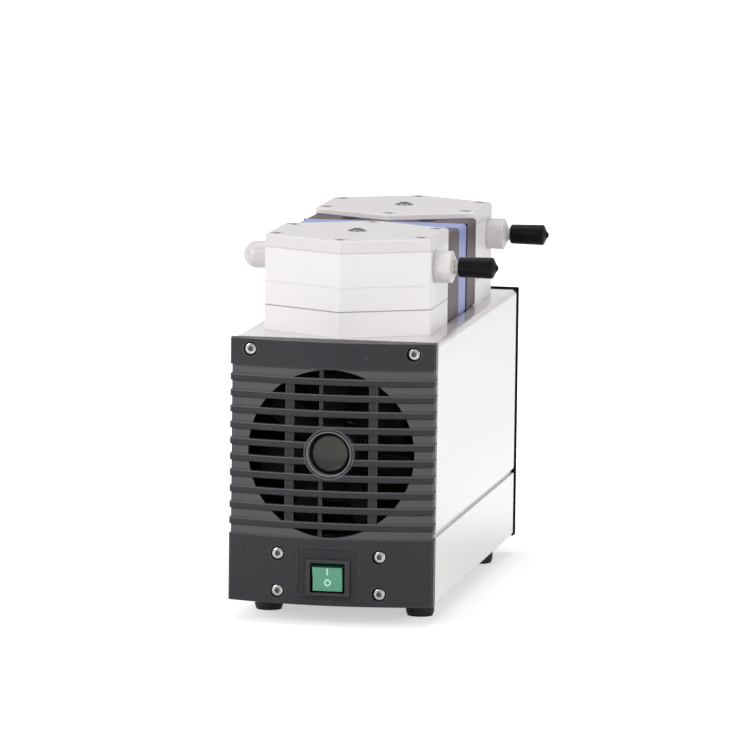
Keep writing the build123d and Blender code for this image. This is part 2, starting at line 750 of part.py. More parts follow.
def port_mouths(end):
    """Mouths of a head's side ports as (x, y): the right one first, then the left one if it has one."""
    mouths = [(head_flats / 2, head_y[end] + right_port_offset[end])]
    if end in left_port_offset:
        mouths.append((-head_flats / 2, head_y[end] + left_port_offset[end]))
    return mouths


for end, centre_y in head_y.items():
    with BuildPart() as head_base:
        add(head_layer(centre_y, cover_top, base_thickness))
        with BuildSketch(Plane.XY.offset(cover_top)):
            with Locations((0, centre_y)):
                Circle(chamber_radius)
        extrude(amount=base_thickness, mode=Mode.SUBTRACT)
        with BuildSketch(Plane.XY.offset(base_top)):
            with Locations((0, centre_y)):
                Circle(49)
        extrude(amount=-1, mode=Mode.SUBTRACT)
    save(head_base, f"head_base_{end}")

    with BuildPart() as valve_plate:
        add(head_layer(centre_y, base_top, valve_plate_thickness))
        with BuildSketch(Plane.XY.offset(base_top)):
            with Locations((0, centre_y)):
                Circle(49)
        extrude(amount=1, mode=Mode.SUBTRACT)
        # Dished roof of the working chamber
        with BuildSketch(Plane.XY.offset(base_top)):
            with Locations((0, centre_y)):
                Circle(chamber_radius)
        extrude(amount=7, taper=40, mode=Mode.SUBTRACT)
        # Passages up to the two valves and their seats
        with BuildSketch(Plane.XY.offset(base_top)):
            with Locations((-valve_x, centre_y), (valve_x, centre_y)):
                Circle(4)
        extrude(amount=valve_plate_thickness, mode=Mode.SUBTRACT)
        with BuildSketch(Plane.XY.offset(valve_plate_top)):
            with Locations((-valve_x, centre_y), (valve_x, centre_y)):
                Circle(11)
        extrude(amount=-2, mode=Mode.SUBTRACT)
    save(valve_plate, f"valve_plate_{end}")

    tube_end_y = tube_ends_y[end]
    with BuildPart() as port_block:
        add(head_layer(centre_y, valve_plate_top, port_block_thickness))
        # Valve pockets, and the channels from them to the ports and to the tube between the heads
        with BuildSketch(Plane.XY.offset(valve_plate_top)):
            with Locations((-valve_x, centre_y), (valve_x, centre_y)):
                Circle(8)
            for port_x, port_y in port_mouths(end):
                side = 1 if port_x > 0 else -1
                with BuildLine():
                    Line((side * valve_x, centre_y), (port_x - side * 13, port_y))
                trace(line_width=5)
            with BuildLine():
                Line((-valve_x, centre_y), (tube_x, tube_end_y))
            trace(line_width=5)
        extrude(amount=7, mode=Mode.SUBTRACT)
        for port_x, port_y in port_mouths(end):
            with BuildSketch(facing_right(port_x, port_y, port_z)):
                Circle(7)
            extrude(amount=-14 if port_x > 0 else 14, mode=Mode.SUBTRACT)
        with BuildSketch(facing_rear(tube_x, tube_end_y, tube_z)):
            Circle(tube_bore)
        extrude(amount=40 if end == "front" else -40, mode=Mode.SUBTRACT)
    save(port_block, f"port_block_{end}")

    with BuildPart() as top_plate:
        with BuildSketch(Plane.XY.offset(port_block_top)):
            with Locations((0, centre_y)):
                add(hexagon(head_flats, 1.5))
        extrude(amount=top_plate_thickness)
        chamfer(top_plate.faces().sort_by(Axis.Z)[-1].edges(), 1.3)
        with Locations(Plane.XY.offset(head_top)):
            with Locations((0, centre_y)):
                with PolarLocations(screw_circle, 6, 90):
                    CounterBoreHole(3.2, 4.8, 3.2, 10)
                CounterBoreHole(4.2, 6.8, centre_seat, 10)
    save(top_plate, f"top_plate_{end}")

with BuildPart() as valve_discs:
    with BuildSketch(Plane.XY.offset(valve_plate_top - 2)):
        for centre_y in head_y.values():
            with Locations((-valve_x, centre_y), (valve_x, centre_y)):
                Circle(10.8)
    extrude(amount=1.2)
save(valve_discs, "valve_discs")

head_screw = socket_screw(4.3, 3.0, 3.0, head_screw_seat - cover_top + 8, 4)
with BuildPart() as head_screws:
    for centre_y in head_y.values():
        with Locations(Plane.XY.offset(head_screw_seat)):
            with Locations((0, centre_y)):
                with PolarLocations(screw_circle, 6, 90):
                    add(head_screw)
save(head_screws, "head_screws")

centre_screw = socket_screw(5.4, 4.0, 4.0, top_plate_thickness - centre_seat, 5)
with BuildPart() as centre_screws:
    for centre_y in head_y.values():
        add(centre_screw.moved(Pos(0, centre_y, head_top - centre_seat)))
save(centre_screws, "centre_screws")

# ---------------------------------------------------------------- ports

nut_length = 14.0
cap_gap = 2.6
cap_length = 27.5
barb_bore = 2.5
for end in head_y:
    port_x, port_y = port_mouths(end)[0]
    with BuildPart() as hose_nozzle:
        # Barbed tube that screws into the port
        with BuildSketch(Plane.XY):
            with BuildLine():
                Polyline((-12, barb_bore), (-12, 6.95), (0, 6.95), (0, 6.2), (10, 6.2), (10, 4.6), (17, 4.6), (18, 5.3))
                Polyline((18, 5.3), (23, 4.6), (24, 5.3), (29, 4.6), (30, 5.3), (36, 3.6), (36, barb_bore))
                Line((36, barb_bore), (-12, barb_bore))
            make_face()
        revolve(axis=Axis.X)
    hose_nozzle.part = hose_nozzle.part.moved(Pos(port_x, port_y, port_z))
    save(hose_nozzle, f"hose_nozzle_{end}")

    with BuildPart() as port_nut:
        # Round union nut with a coned nose
        with BuildSketch(Plane.XY):
            with BuildLine():
                Polyline((0, 6.3), (0, 11), (nut_length - 2, 11), (nut_length, 6.6), (nut_length, 4.8), (10.2, 4.8))
                Polyline((10.2, 4.8), (10.2, 6.3), (0, 6.3))
            make_face()
        revolve(axis=Axis.X)
        chamfer(port_nut.edges().group_by(Axis.X)[0].sort_by(SortBy.RADIUS)[-1], 0.6)
    port_nut.part = port_nut.part.moved(Pos(port_x, port_y, port_z))
    save(port_nut, f"port_nut_{end}")

    with BuildPart() as port_cap:
        # Soft closed cap, a little wider towards its coned tip
        start = nut_length + cap_gap
        with BuildSketch(Plane.XY):
            with BuildLine():
                mouth = Polyline((start, 5.6), (start, 6.3), (start + 0.8, 6.9), (start + 22.5, 7.35))
                shoulder = ThreePointArc(mouth @ 1, (start + 23.8, 6.9), (start + 24.6, 5.6))
                nose = Polyline(shoulder @ 1, (start + 26, 2.6), (start + cap_length - 0.4, 1.5), (start + cap_length, 0))
                Polyline(nose @ 1, (start + 21, 0), (start + 21, 5.6), (start, 5.6))
            make_face()
        revolve(axis=Axis.X)
    port_cap.part = port_cap.part.moved(Pos(port_x, port_y, port_z))
    save(port_cap, f"port_cap_{end}")

plug_length = 25.4
plug_radius = 9.5
plug_x, plug_y = port_mouths("front")[1]
with BuildPart() as blanking_plug:
    # Domed plug screwed into the left port
    with BuildSketch(Plane.XY):
        with BuildLine():
            Polyline((-plug_length, 0), (12, 0), (12, 6.95), (0, 6.95), (0, plug_radius))
            Line((0, plug_radius), (plug_radius - plug_length, plug_radius))
            CenterArc((plug_radius - plug_length, 0), plug_radius, 90, 90)
        make_face()
    revolve(axis=Axis.X)
blanking_plug.part = blanking_plug.part.moved(Pos(plug_x, plug_y, port_z))
save(blanking_plug, "blanking_plug")

# ---------------------------------------------------------------- bridge

bridge_ends_y = [head_y["front"] + 32, *bridge_cuts_y, head_y["rear"] - 32]
bridge_names = ["bridge_front", "bridge_band", "bridge_gasket", "bridge_rear"]
bridge_plug_places = [(-27.5, 30.2), (27.5, 30.2)]
for i, bridge_name in enumerate(bridge_names):
    start_y, end_y = bridge_ends_y[i], bridge_ends_y[i + 1]
    with BuildPart() as bridge:
        with BuildSketch(facing_rear(0, start_y, cover_top)) as section:
            with Locations((0, bridge_height / 2)):
                Rectangle(head_flats, bridge_height)
            fillet(section.vertices().group_by(Axis.Z)[-1], 2.5)
        extrude(amount=end_y - start_y)
        # Notched to the slanted faces of both heads
        with BuildSketch(Plane.XY.offset(cover_top)):
            for centre_y in head_y.values():
                with Locations((0, centre_y)):
                    add(hexagon(head_flats + 0.4))
        extrude(amount=bridge_height, mode=Mode.SUBTRACT)
        with BuildSketch(facing_rear(tube_x, -60, tube_z)):
            Circle(tube_bore)
        extrude(amount=120, mode=Mode.SUBTRACT)
        if bridge_name == "bridge_rear":
            with BuildSketch(Plane.XY.offset(cover_top + bridge_height)):
                with Locations(*bridge_plug_places):
                    Circle(6.75)
            extrude(amount=-8, mode=Mode.SUBTRACT)
    save(bridge, bridge_name)

with BuildPart() as bridge_plugs:
    with BuildSketch(Plane.XY.offset(cover_top + bridge_height - 8)):
        with Locations(*bridge_plug_places):
            Circle(6.7)
    extrude(amount=7.2)
save(bridge_plugs, "bridge_plugs")

with BuildPart() as transfer_tube:
    with BuildSketch(facing_rear(tube_x, tube_ends_y["front"], tube_z)):
        Circle(tube_bore)
        Circle(2.5, mode=Mode.SUBTRACT)
    extrude(amount=tube_ends_y["rear"] - tube_ends_y["front"])
save(transfer_tube, "transfer_tube")
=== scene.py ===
"""Looks of the two-head diaphragm vacuum pump: finishes of every part, switch marks, studio and camera."""
import bpy
import bmesh
import json
from math import cos, pi, radians, sin, tan
from mathutils import Matrix, Vector


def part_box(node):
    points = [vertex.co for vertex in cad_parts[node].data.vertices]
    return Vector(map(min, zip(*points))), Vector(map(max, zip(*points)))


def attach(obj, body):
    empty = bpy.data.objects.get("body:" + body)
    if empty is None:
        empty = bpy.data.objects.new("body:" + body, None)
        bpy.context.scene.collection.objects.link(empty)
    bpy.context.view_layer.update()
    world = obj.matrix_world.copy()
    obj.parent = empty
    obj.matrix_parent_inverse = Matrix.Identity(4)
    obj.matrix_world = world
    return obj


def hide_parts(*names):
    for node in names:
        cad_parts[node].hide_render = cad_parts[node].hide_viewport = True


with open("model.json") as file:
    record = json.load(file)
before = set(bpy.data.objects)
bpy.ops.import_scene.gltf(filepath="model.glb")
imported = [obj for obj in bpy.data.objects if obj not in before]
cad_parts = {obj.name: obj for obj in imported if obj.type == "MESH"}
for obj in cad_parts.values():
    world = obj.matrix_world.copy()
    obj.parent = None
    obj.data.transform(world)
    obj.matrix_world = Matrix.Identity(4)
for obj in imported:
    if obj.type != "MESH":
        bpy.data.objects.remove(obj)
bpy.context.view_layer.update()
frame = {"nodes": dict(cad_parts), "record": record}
mm = 0.001

# sizes of the front moulding and the sheet that the shading below follows
bow = 11.0 * mm
shaft_z = 118.1 * mm
grille_bottom = 60.0 * mm
grille_height = 116.2 * mm
recess_height = 6.5 * mm
bar_pitch = 10.97 * mm
sheet_thickness = 1.5 * mm


# ---------------------------------------------------------------- shader groups

def start_group(name, inputs, outputs):
    """New shader group with its sockets, and its two end nodes."""
    group = bpy.data.node_groups.new(name, "ShaderNodeTree")
    for label, kind, value in inputs:
        socket = group.interface.new_socket(name=label, in_out="INPUT", socket_type=kind)
        socket.default_value = value
    for label, kind in outputs:
        group.interface.new_socket(name=label, in_out="OUTPUT", socket_type=kind)
    start = group.nodes.new("NodeGroupInput")
    end = group.nodes.new("NodeGroupOutput")
    return group, start, end


def math_node(tree, operation, first, second=None, clamp=False):
    """Math node with sockets or numbers as its operands."""
    node = tree.nodes.new("ShaderNodeMath")
    node.operation = operation
    node.use_clamp = clamp
    for index, value in enumerate((first, second)):
        if value is None:
            continue
        if isinstance(value, (int, float)):
            node.inputs[index].default_value = value
        else:
            tree.links.new(value, node.inputs[index])
    return node.outputs[0]


def noise_node(tree, coordinates, scale, detail=3.0):
    """Noise whose scale is a number or a socket."""
    node = tree.nodes.new("ShaderNodeTexNoise")
    node.inputs["Detail"].default_value = detail
    tree.links.new(coordinates, node.inputs["Vector"])
    if isinstance(scale, (int, float)):
        node.inputs["Scale"].default_value = scale
    else:
        tree.links.new(scale, node.inputs["Scale"])
    return node.outputs["Fac"]


def mix_color(tree, factor, first, second, blend="MIX"):
    """Colour mix with sockets, colours or numbers as its inputs."""
    node = tree.nodes.new("ShaderNodeMix")
    node.data_type = "RGBA"
    node.blend_type = blend
    for socket, value in ((node.inputs[0], factor), (node.inputs[6], first), (node.inputs[7], second)):
        if isinstance(value, (int, float)):
            socket.default_value = value
        elif isinstance(value, (tuple, list)):
            socket.default_value = value
        else:
            tree.links.new(value, socket)
    return node.outputs[2]


def make_tone_group():
    """Slow drift of colour and gloss over a surface, as handling and moulding leave it."""
    group, start, end = start_group(
        "Tone Drift",
        [
            ("Color", "NodeSocketColor", (0.8, 0.8, 0.8, 1)),
            ("Drift", "NodeSocketFloat", 0.05),
            ("Patch Scale", "NodeSocketFloat", 20.0),
            ("Smooth", "NodeSocketFloat", 0.3),
            ("Rough", "NodeSocketFloat", 0.4),
        ],
        [("Color", "NodeSocketColor"), ("Roughness", "NodeSocketFloat")],
    )
    place = group.nodes.new("ShaderNodeTexCoord").outputs["Object"]
    patches = noise_node(group, place, start.outputs["Patch Scale"])
    finer = noise_node(group, place, math_node(group, "MULTIPLY", start.outputs["Patch Scale"], 7.0))
    patch_share = math_node(group, "MULTIPLY", patches, 0.65)
    finer_share = math_node(group, "MULTIPLY", finer, 0.35)
    both = math_node(group, "ADD", patch_share, finer_share)
    swing = math_node(group, "MULTIPLY", math_node(group, "SUBTRACT", both, 0.5), start.outputs["Drift"])
    value = math_node(group, "ADD", 1.0, math_node(group, "MULTIPLY", swing, 2.0))
    hue = group.nodes.new("ShaderNodeHueSaturation")
    group.links.new(start.outputs["Color"], hue.inputs["Color"])
    group.links.new(value, hue.inputs["Value"])
    group.links.new(hue.outputs["Color"], end.inputs["Color"])
    spread = group.nodes.new("ShaderNodeMapRange")
    spread.inputs["From Min"].default_value = 0.3
    spread.inputs["From Max"].default_value = 0.7
    group.links.new(both, spread.inputs["Value"])
    group.links.new(start.outputs["Smooth"], spread.inputs["To Min"])
    group.links.new(start.outputs["Rough"], spread.inputs["To Max"])
    group.links.new(spread.outputs["Result"], end.inputs["Roughness"])
    return group


def make_edge_group():
    """Mask that is 1 along outer edges, broken up as real wear is; used for rub wear and for painted
    highlights.
    """
    group, start, end = start_group(
        "Edge Wear And Highlight",
        [
            ("Width", "NodeSocketFloat", 0.0006),
            ("Amount", "NodeSocketFloat", 0.5),
            ("Breakup", "NodeSocketFloat", 300.0),
        ],
        [("Mask", "NodeSocketFloat")],
    )
    place = group.nodes.new("ShaderNodeTexCoord").outputs["Object"]
    rounded = group.nodes.new("ShaderNodeBevel")
    rounded.samples = 4
    group.links.new(start.outputs["Width"], rounded.inputs["Radius"])
    flat = group.nodes.new("ShaderNodeNewGeometry")
    dot = group.nodes.new("ShaderNodeVectorMath")
    dot.operation = "DOT_PRODUCT"
    group.links.new(rounded.outputs["Normal"], dot.inputs[0])
    group.links.new(flat.outputs["True Normal"], dot.inputs[1])
    bend = math_node(group, "SUBTRACT", 1.0, dot.outputs["Value"])
    edge = math_node(group, "MULTIPLY", bend, 6.0, clamp=True)
    chips = noise_node(group, place, start.outputs["Breakup"], 2.0)
    broken = math_node(group, "MULTIPLY", edge, math_node(group, "MULTIPLY", chips, 1.6))
    mask = math_node(group, "MULTIPLY", broken, start.outputs["Amount"], clamp=True)
    group.links.new(mask, end.inputs["Mask"])
    return group


def make_grain_group():
    """Height of a moulded or cast grain: fine pebbles broken by softer waves."""
    group, start, end = start_group(
        "Grain",
        [("Scale", "NodeSocketFloat", 1500.0), ("Pebble", "NodeSocketFloat", 0.5)],
        [("Height", "NodeSocketFloat")],
    )
    place = group.nodes.new("ShaderNodeTexCoord").outputs["Object"]
    pebbles = group.nodes.new("ShaderNodeTexVoronoi")
    group.links.new(place, pebbles.inputs["Vector"])
    group.links.new(start.outputs["Scale"], pebbles.inputs["Scale"])
    waves = noise_node(group, place, math_node(group, "MULTIPLY", start.outputs["Scale"], 0.45), 4.0)
    pebbled = math_node(group, "MULTIPLY", pebbles.outputs["Distance"], start.outputs["Pebble"])
    group.links.new(math_node(group, "ADD", pebbled, waves), end.inputs["Height"])
    return group


def make_lines_group():
    """Height of fine parallel lines, as turning, brushing or stacked sheets leave them."""
    group, start, end = start_group(
        "Tool Lines",
        [("Stretch", "NodeSocketVector", (20.0, 20.0, 900.0)), ("Detail Scale", "NodeSocketFloat", 1.0)],
        [("Height", "NodeSocketFloat")],
    )
    place = group.nodes.new("ShaderNodeTexCoord").outputs["Object"]
    scaled = group.nodes.new("ShaderNodeVectorMath")
    scaled.operation = "MULTIPLY"
    group.links.new(place, scaled.inputs[0])
    group.links.new(start.outputs["Stretch"], scaled.inputs[1])
    height = noise_node(group, scaled.outputs[0], start.outputs["Detail Scale"], 2.0)
    group.links.new(height, end.inputs["Height"])
    return group


def make_fleck_group():
    """Mask of sparse pale flecks, as dust and handling leave on dark plastic."""
    group, start, end = start_group(
        "Dust Flecks",
        [
            ("Scale", "NodeSocketFloat", 900.0),
            ("Patch Scale", "NodeSocketFloat", 40.0),
            ("Amount", "NodeSocketFloat", 0.5),
        ],
        [("Mask", "NodeSocketFloat")],
    )
    place = group.nodes.new("ShaderNodeTexCoord").outputs["Object"]
    specks = noise_node(group, place, start.outputs["Scale"], 1.0)
    sharp = math_node(group, "MULTIPLY", math_node(group, "SUBTRACT", specks, 0.66), 9.0, clamp=True)
    zones = noise_node(group, place, start.outputs["Patch Scale"], 2.0)
    dusty = math_node(group, "MULTIPLY", math_node(group, "SUBTRACT", zones, 0.4), 4.0, clamp=True)
    both = math_node(group, "MULTIPLY", sharp, dusty)
    group.links.new(math_node(group, "MULTIPLY", both, start.outputs["Amount"]), end.inputs["Mask"])
    return group


def make_joint_shadow_group():
    """Mask of one thin level line, as the shadow in the joint between two stacked plates."""
    group, start, end = start_group(
        "Plate Seam Shadow",
        [
            ("Level", "NodeSocketFloat", 0.2),
            ("Half Width", "NodeSocketFloat", 0.0004),
            ("Amount", "NodeSocketFloat", 0.5),
        ],
        [("Mask", "NodeSocketFloat")],
    )
    split = group.nodes.new("ShaderNodeSeparateXYZ")
    group.links.new(group.nodes.new("ShaderNodeTexCoord").outputs["Object"], split.inputs[0])
    offset = math_node(group, "SUBTRACT", split.outputs["Z"], start.outputs["Level"])
    share = math_node(group, "DIVIDE", math_node(group, "ABSOLUTE", offset), start.outputs["Half Width"])
    near = math_node(group, "SUBTRACT", 1.0, share, clamp=True)
    group.links.new(math_node(group, "MULTIPLY", near, start.outputs["Amount"]), end.inputs["Mask"])
    return group


tone_group = make_tone_group()
fleck_group = make_fleck_group()
joint_shadow_group = make_joint_shadow_group()
edge_group = make_edge_group()
grain_group = make_grain_group()
lines_group = make_lines_group()


def place_group(tree, group, **values):
    """Group node with its inputs set by name, underscores standing for spaces."""
    node = tree.nodes.new("ShaderNodeGroup")
    node.node_tree = group
    for name, value in values.items():
        node.inputs[name.replace("_", " ")].default_value = value
    return node


# ---------------------------------------------------------------- finishes

def finish(
    name,
    color,
    smooth,
    rough,
    drift=0.05,
    patch=20.0,
    wear_and_highlight=None,
    edge_width=0.0006,
    wear_and_highlight_amount=0.4,
    soft_edge=0.0004,
    grain=None,
    grain_depth=0.00002,
    lines=None,
    lines_depth=0.00001,
    **shader_values,
):
    """Material with drifting tone, rounded edges tinted as wear and painted highlight, and an optional grain
    or set of tool lines.
    """
    material = bpy.data.materials.new(name)
    material.use_nodes = True
    tree = material.node_tree
    shader = tree.nodes["Principled BSDF"]
    for label, value in shader_values.items():
        shader.inputs[label.replace("_", " ")].default_value = value
    tone = place_group(
        tree, tone_group, Color=(*color, 1), Drift=drift, Patch_Scale=patch, Smooth=smooth, Rough=rough,
    )
    # edge tint: rub wear on some finishes, a painted highlight on others
    if wear_and_highlight:
        mask = place_group(tree, edge_group, Width=edge_width, Amount=wear_and_highlight_amount).outputs["Mask"]
        wear_and_highlight_color = mix_color(tree, mask, tone.outputs["Color"], (*wear_and_highlight, 1))
        tree.links.new(wear_and_highlight_color, shader.inputs["Base Color"])
    else:
        tree.links.new(tone.outputs["Color"], shader.inputs["Base Color"])
    tree.links.new(tone.outputs["Roughness"], shader.inputs["Roughness"])
    rounded = tree.nodes.new("ShaderNodeBevel")
    rounded.samples = 4
    rounded.inputs["Radius"].default_value = soft_edge
    normal = rounded.outputs["Normal"]
    reliefs = []
    if grain:
        reliefs.append((place_group(tree, grain_group, Scale=grain).outputs["Height"], grain_depth))
    if lines:
        reliefs.append((place_group(tree, lines_group, Stretch=lines).outputs["Height"], lines_depth))
    for height, depth in reliefs:
        bump = tree.nodes.new("ShaderNodeBump")
        bump.inputs["Distance"].default_value = depth
        tree.links.new(height, bump.inputs["Height"])
        tree.links.new(normal, bump.inputs["Normal"])
        normal = bump.outputs["Normal"]
    tree.links.new(normal, shader.inputs["Normal"])
    return material


def band_waves(tree, axis, pitch):
    """Round-topped ridges of a given pitch that repeat along one axis, as a height from 0 to 1."""
    place = tree.nodes.new("ShaderNodeTexCoord").outputs["Object"]
    split = tree.nodes.new("ShaderNodeSeparateXYZ")
    tree.links.new(place, split.inputs[0])
    angle = math_node(tree, "MULTIPLY", split.outputs[axis], 2 * pi / pitch)
    return math_node(tree, "ADD", math_node(tree, "MULTIPLY", math_node(tree, "SINE", angle), 0.5), 0.5)


def add_ridges(material, axis, pitch, depth, shade=None):
    """Adds repeating ridges to a finish, and darkens the valleys between them by a factor."""
    tree = material.node_tree
    shader = tree.nodes["Principled BSDF"]
    ridges = band_waves(tree, axis, pitch)
    bump = tree.nodes.new("ShaderNodeBump")
    bump.inputs["Distance"].default_value = depth
    tree.links.new(ridges, bump.inputs["Height"])
    tree.links.new(shader.inputs["Normal"].links[0].from_socket, bump.inputs["Normal"])
    tree.links.new(bump.outputs["Normal"], shader.inputs["Normal"])
    if shade is not None:
        color = shader.inputs["Base Color"].links[0].from_socket
        dark = mix_color(tree, 1.0, color, (shade, shade, shade, 1), "MULTIPLY")
        tree.links.new(mix_color(tree, ridges, dark, color), shader.inputs["Base Color"])


def tint(material, mask, color):
    """Blends a colour into a finish where a mask says."""
    tree = material.node_tree
    shader = tree.nodes["Principled BSDF"]
    base = shader.inputs["Base Color"].links[0].from_socket
    tree.links.new(mix_color(tree, mask, base, (*color, 1)), shader.inputs["Base Color"])


def add_flecks(material, color, amount, scale=900.0, patch=40.0):
    """Adds sparse pale flecks to a finish."""
    flecks = place_group(material.node_tree, fleck_group, Scale=scale, Patch_Scale=patch, Amount=amount)
    tint(material, flecks.outputs["Mask"], color)


def add_joint_shadows(material, color, *joint_shadows):
    """Adds painted shadow lines along level joints, each given as its height, half width and strength."""
    for level, half_width, amount in joint_shadows:
        line = place_group(
            material.node_tree, joint_shadow_group, Level=level, Half_Width=half_width, Amount=amount,
        )
        tint(material, line.outputs["Mask"], color)


def object_axes(tree):
    """Object coordinates split into their three axes."""
    split = tree.nodes.new("ShaderNodeSeparateXYZ")
    tree.links.new(tree.nodes.new("ShaderNodeTexCoord").outputs["Object"], split.inputs[0])
    return split.outputs["X"], split.outputs["Y"], split.outputs["Z"]


def between(tree, value, low, high):
    """Mask that is 1 where a value lies between two limits."""
    above = math_node(tree, "GREATER_THAN", value, low)
    return math_node(tree, "MULTIPLY", above, math_node(tree, "LESS_THAN", value, high))


def all_of(tree, *masks):
    """Product of several masks or amounts."""
    result = masks[0]
    for mask in masks[1:]:
        result = math_node(tree, "MULTIPLY", result, mask)
    return result


def distance_from(tree, first, second, first_centre, second_centre):
    """Distance in a plane from a centre, from two coordinates."""
    one = math_node(tree, "POWER", math_node(tree, "SUBTRACT", first, first_centre), 2.0)
    two = math_node(tree, "POWER", math_node(tree, "SUBTRACT", second, second_centre), 2.0)
    return math_node(tree, "SQRT", math_node(tree, "ADD", one, two))


def map_range(tree, value, from_low, from_high, to_low, to_high, eased=False):
    """Value carried from one range to another and held at its ends."""
    node = tree.nodes.new("ShaderNodeMapRange")
    if eased:
        node.interpolation_type = "SMOOTHSTEP"
    limits = (("From Min", from_low), ("From Max", from_high), ("To Min", to_low), ("To Max", to_high))
    for label, limit in limits:
        node.inputs[label].default_value = limit
    tree.links.new(value, node.inputs["Value"])
    return node.outputs["Result"]


def dress_front_moulding(material):
    """Paints the front moulding by position.

    The grooves are lighter; painted shadows lie under the slats and painted highlights on their upper edges.
    Painted highlights lie on the hub ring's rims, and painted shade makes a dark halo round the switch.
    """
    tree = material.node_tree
    x, y, z = object_axes(tree)
    low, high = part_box("front_panel")
    bow_radius = (high[0]**2 + bow**2) / (2 * bow)
    depth = math_node(tree, "SUBTRACT", bow_radius, distance_from(tree, x, y, 0.0, low[1] + bow_radius))
    in_grille = between(tree, z, grille_bottom, grille_bottom + grille_height)
    face_depth, groove_depth = 0.9 * mm, 1.6 * mm
    grooves = all_of(tree, between(tree, depth, face_depth, groove_depth), in_grille, 0.85)
    tint(material, grooves, (0.094, 0.087, 0.096))
    level = math_node(tree, "SUBTRACT", z, grille_bottom)
    share = math_node(tree, "FRACT", math_node(tree, "DIVIDE", level, bar_pitch))
    phase = math_node(tree, "MULTIPLY", share, bar_pitch)
    on_face = math_node(tree, "LESS_THAN", depth, groove_depth)
    on_slats = math_node(tree, "LESS_THAN", depth, face_depth)
    # painted shadow: a dark line under each slat
    shadow_under_slats = between(tree, phase, recess_height - 0.7 * mm, recess_height + 0.5 * mm)
    tint(material, all_of(tree, shadow_under_slats, in_grille, on_face, 0.75), (0.008, 0.007, 0.009))
    # painted highlight: a light line along the upper edge of each slat
    upper = between(tree, phase, bar_pitch - 0.8 * mm, bar_pitch)
    tint(material, all_of(tree, upper, in_grille, on_slats, 0.4), (0.15, 0.143, 0.155))
    reach = distance_from(tree, x, z, 0.0, shaft_z)
    # painted highlights on the inner and outer rims of the hub ring
    rim_highlight_inner = between(tree, reach, 14.3 * mm, 15.4 * mm)
    rim_highlight_outer = between(tree, reach, 16.7 * mm, 17.7 * mm)
    tint(material, all_of(tree, rim_highlight_inner, 0.7), (0.26, 0.25, 0.265))
    tint(material, all_of(tree, rim_highlight_outer, 0.3), (0.2, 0.19, 0.205))
    frame_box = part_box("switch_frame")
    across = math_node(tree, "SUBTRACT", math_node(tree, "ABSOLUTE", x), frame_box[1][0])
    middle_z = (frame_box[0][2] + frame_box[1][2]) / 2
    along = math_node(tree, "ABSOLUTE", math_node(tree, "SUBTRACT", z, middle_z))
    along = math_node(tree, "SUBTRACT", along, frame_box[1][2] - middle_z)
    outside = math_node(tree, "MAXIMUM", across, along)
    # painted shade: a dark halo round the switch frame that fades outwards
    shade_halo_width = 11.0 * mm
    tint(material, map_range(tree, outside, 0.0, shade_halo_width, 0.9, 0.0, eased=True), (0.017, 0.015, 0.019))


def dress_sheet(material):
    """Paints the sheet by position.

    The inner faces are darkened as painted shade. A cooler band runs along the top of the sides,
    and painted light makes the sides paler downwards.
    """
    tree = material.node_tree
    x, _, z = object_axes(tree)
    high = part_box("housing_cover")[1]
    wide = math_node(tree, "ABSOLUTE", x)
    outer_side = math_node(tree, "GREATER_THAN", wide, high[0] - 0.3 * mm)
    band = between(tree, z, high[2] - 12.9 * mm, high[2] - 0.9 * mm)
    tint(material, all_of(tree, outer_side, band, 0.6), (0.555, 0.575, 0.558))
    joint = between(tree, z, 60.5 * mm, 63.0 * mm)
    margin = sheet_thickness - 0.1 * mm
    # painted shade: the inner faces are darkened and lose their gloss
    inner_shade = all_of(
        tree,
        math_node(tree, "LESS_THAN", wide, high[0] - margin),
        between(tree, z, 15.6 * mm, high[2] - margin),
        math_node(tree, "SUBTRACT", 1.0, joint),
    )
    tint(material, inner_shade, (0.02, 0.018, 0.021))
    # painted light: the outer sides grow paler towards the bottom
    light_towards_bottom = map_range(tree, z, 14.0 * mm, 110.0 * mm, 0.8, 0.0)
    tint(material, all_of(tree, light_towards_bottom, outer_side), (0.88, 0.84, 0.835))
    gloss = math_node(tree, "MULTIPLY", math_node(tree, "SUBTRACT", 1.0, inner_shade), 0.45)
    tree.links.new(gloss, tree.nodes["Principled BSDF"].inputs["Specular IOR Level"])


def paint_light_on_plate_sides(material, color):
    """Paints light on the upright faces of the top plates below their upper edge, lighter than the top."""
    tree = material.node_tree
    z = object_axes(tree)[2]
    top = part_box("top_plate_front")[1][2]
    tint(material, math_node(tree, "LESS_THAN", z, top - 0.5 * mm), color)


